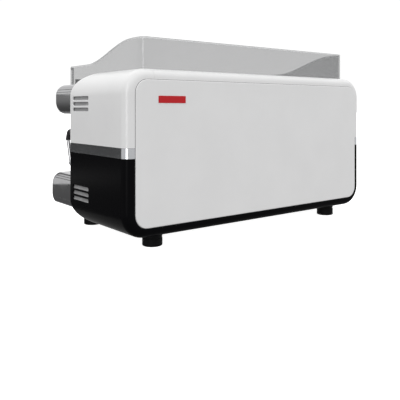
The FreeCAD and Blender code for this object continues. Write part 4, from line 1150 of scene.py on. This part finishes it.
# --- Studio -----------------------------------------------------------------
class BuildStudio(bpy.types.Operator):
    """Pale floor, soft room light and the camera"""

    bl_idname = "machine.studio"
    bl_label = "Studio"

    def execute(self, context):
        studio = context.scene.machine_studio
        self.floor()
        self.room(studio.sky)
        self.card("studio_dark_card", (1.0, -0.75, 0.2775), (0.36, 0.27, 0), (0, 0, 0.1775), 0.25, 0.3)
        self.card("studio_low_card", (1.0, -0.75, -0.165), (0.36, 0.27, 0), (0, 0, 0.20), 0.12, 0.9)
        self.card("studio_light_strip", (2.3, 1.75, 1.0), (-0.25, 0.32, 0), (0, 0, 1.3), 4.0, 0.95)
        camera = bpy.data.cameras.new("studio_camera")
        camera.lens = studio.lens
        camera.sensor_width = 36.0
        camera.shift_y = studio.rise
        camera.clip_end = 200.0
        camera.dof.use_dof = False
        holder = bpy.data.objects.new("studio_camera", camera)
        holder.location = studio.place
        holder.rotation_euler = Vector(studio.ahead).to_track_quat("-Z", "Y").to_euler()
        context.scene.collection.objects.link(holder)
        context.scene.camera = holder
        context.scene.view_settings.view_transform = "Standard"
        return {"FINISHED"}

    def floor(self):
        """A wide disc with a trace of mottling that glows enough to read as a white sweep, and a white dome
        that only the camera sees."""
        def shade(position):
            mottle = position.noise(3.0)
            return {"Base Color": mottle.blend((0.78, 0.78, 0.78, 1), (0.82, 0.82, 0.82, 1)),
                    "Roughness": 0.9, "Emission Color": (1, 1, 1, 1), "Emission Strength": 0.92,
                    "Specular IOR Level": 0.1}
        finish = new_finish("studio_floor", shade)
        a = np.linspace(0, 2 * np.pi, 96, endpoint=False)
        ground = np.stack([60 * np.cos(a), 60 * np.sin(a), 0 * a], axis=1)
        mesh = bpy.data.meshes.new("studio_floor")
        mesh.from_pydata(ground.tolist(), [], [list(range(96))])
        mesh.materials.append(finish)
        disc = bpy.data.objects.new("studio_floor", mesh)
        bpy.context.scene.collection.objects.link(disc)
        disc.visible_diffuse = disc.visible_glossy = False

        glow = {"Base Color": (0, 0, 0, 1), "Emission Color": (1, 1, 1, 1), "Emission Strength": 1.05,
                "Specular IOR Level": 0.0}
        t = np.linspace(-0.02, np.pi / 2, 16)[:, None]
        rings = 58 * np.stack([np.cos(t) * np.cos(a), np.cos(t) * np.sin(a), np.sin(t) + 0 * a], axis=-1)
        points, faces = loft(rings)
        mesh = bpy.data.meshes.new("studio_dome")
        mesh.from_pydata(points.tolist(), [], faces[:-2])
        mesh.materials.append(new_finish("studio_dome", lambda position: glow))
        dome = bpy.data.objects.new("studio_dome", mesh)
        bpy.context.scene.collection.objects.link(dome)
        dome.visible_diffuse = dome.visible_glossy = dome.visible_transmission = dome.visible_shadow = False

    def card(self, name, centre, across, up, strength, foot):
        """A card that only reflections see, to shape the gloss on metal and paint. Its glow rises from a
        share at the foot to all of it near the top."""
        def glow(position):
            bottom, height = (centre[2] - up[2]) / MM, 2 * up[2] / MM
            rise = position.axis("Z").step(bottom + 0.8 * height, bottom + 0.96 * height)
            return {"Base Color": (0, 0, 0, 1), "Emission Strength": strength, "Specular IOR Level": 0.0,
                    "Emission Color": rise.blend((foot, foot, foot, 1), (1, 1, 1, 1))}
        centre, across, up = (np.array(v) for v in (centre, across, up))
        mesh = bpy.data.meshes.new(name)
        corners = [centre + a * across + b * up for a, b in ((-1, -1), (1, -1), (1, 1), (-1, 1))]
        mesh.from_pydata(np.array(corners).tolist(), [], [[0, 1, 2, 3]])
        mesh.materials.append(new_finish(name, glow))
        sheet = bpy.data.objects.new(name, mesh)
        bpy.context.scene.collection.objects.link(sheet)
        sheet.visible_camera = sheet.visible_diffuse = False
        sheet.visible_transmission = sheet.visible_shadow = False

    def room(self, strength):
        """Soft light from all round, brighter above than below."""
        world = bpy.data.worlds.new("studio_room")
        bpy.context.scene.world = world
        world.use_nodes = True
        tree = world.node_tree
        tree.nodes.clear()
        way = Wire(tree).node("ShaderNodeTexCoord", output="Generated")
        up = way.node("ShaderNodeSeparateXYZ", {}, {"Vector": way}, "Z")
        level = up.step(-0.45, 0.05) * 0.42 + up.step(0.1, 0.9) * 0.56 + 0.38
        back = way.node("ShaderNodeBackground", {}, {"Color": (1, 1, 1, 1), "Strength": level * strength})
        way.node("ShaderNodeOutputWorld", {}, {"Surface": back})


class MachinePanel(bpy.types.Panel):
    """Lists the pieces and the settings"""

    bl_idname = "VIEW3D_PT_bar_machine"
    bl_label = "Espresso machine"
    bl_space_type = "VIEW_3D"
    bl_region_type = "UI"
    bl_category = "Machine"

    def draw(self, context):
        for step in STEPS:
            self.layout.operator(step.bl_idname)
        for group in (sizes(), finishes(), context.scene.machine_studio):
            for name in group.bl_rna.properties.keys():
                if name not in ("rna_type", "name"):
                    self.layout.prop(group, name)


STEPS = (BuildCovers, BuildRearPanel, BuildCupTray, BuildConsole, BuildGauges, BuildKnobs, BuildGroups,
         BuildPortafilters, BuildOutlets, BuildDripTray, BuildFeet, FinishInside, BuildStudio)
CLASSES = (MachineSizes, MachineFinishes, StudioSettings, *STEPS, MachinePanel)


def register():
    for each in CLASSES:
        bpy.utils.register_class(each)
    bpy.types.Scene.machine_sizes = bpy.props.PointerProperty(type=MachineSizes)
    bpy.types.Scene.machine_finishes = bpy.props.PointerProperty(type=MachineFinishes)
    bpy.types.Scene.machine_studio = bpy.props.PointerProperty(type=StudioSettings)


def unregister():
    del bpy.types.Scene.machine_studio
    del bpy.types.Scene.machine_finishes
    del bpy.types.Scene.machine_sizes
    for each in reversed(CLASSES):
        bpy.utils.unregister_class(each)


def main():
    register()
    bpy.ops.machine.covers()
    bpy.ops.machine.rear_panel()
    bpy.ops.machine.cup_tray()
    bpy.ops.machine.console()
    bpy.ops.machine.gauges()
    bpy.ops.machine.knobs()
    bpy.ops.machine.groups()
    bpy.ops.machine.portafilters()
    bpy.ops.machine.outlets()
    bpy.ops.machine.drip_tray()
    bpy.ops.machine.feet()
    bpy.ops.machine.inside()
    bpy.ops.machine.studio()


if __name__ == "__main__":
    main()
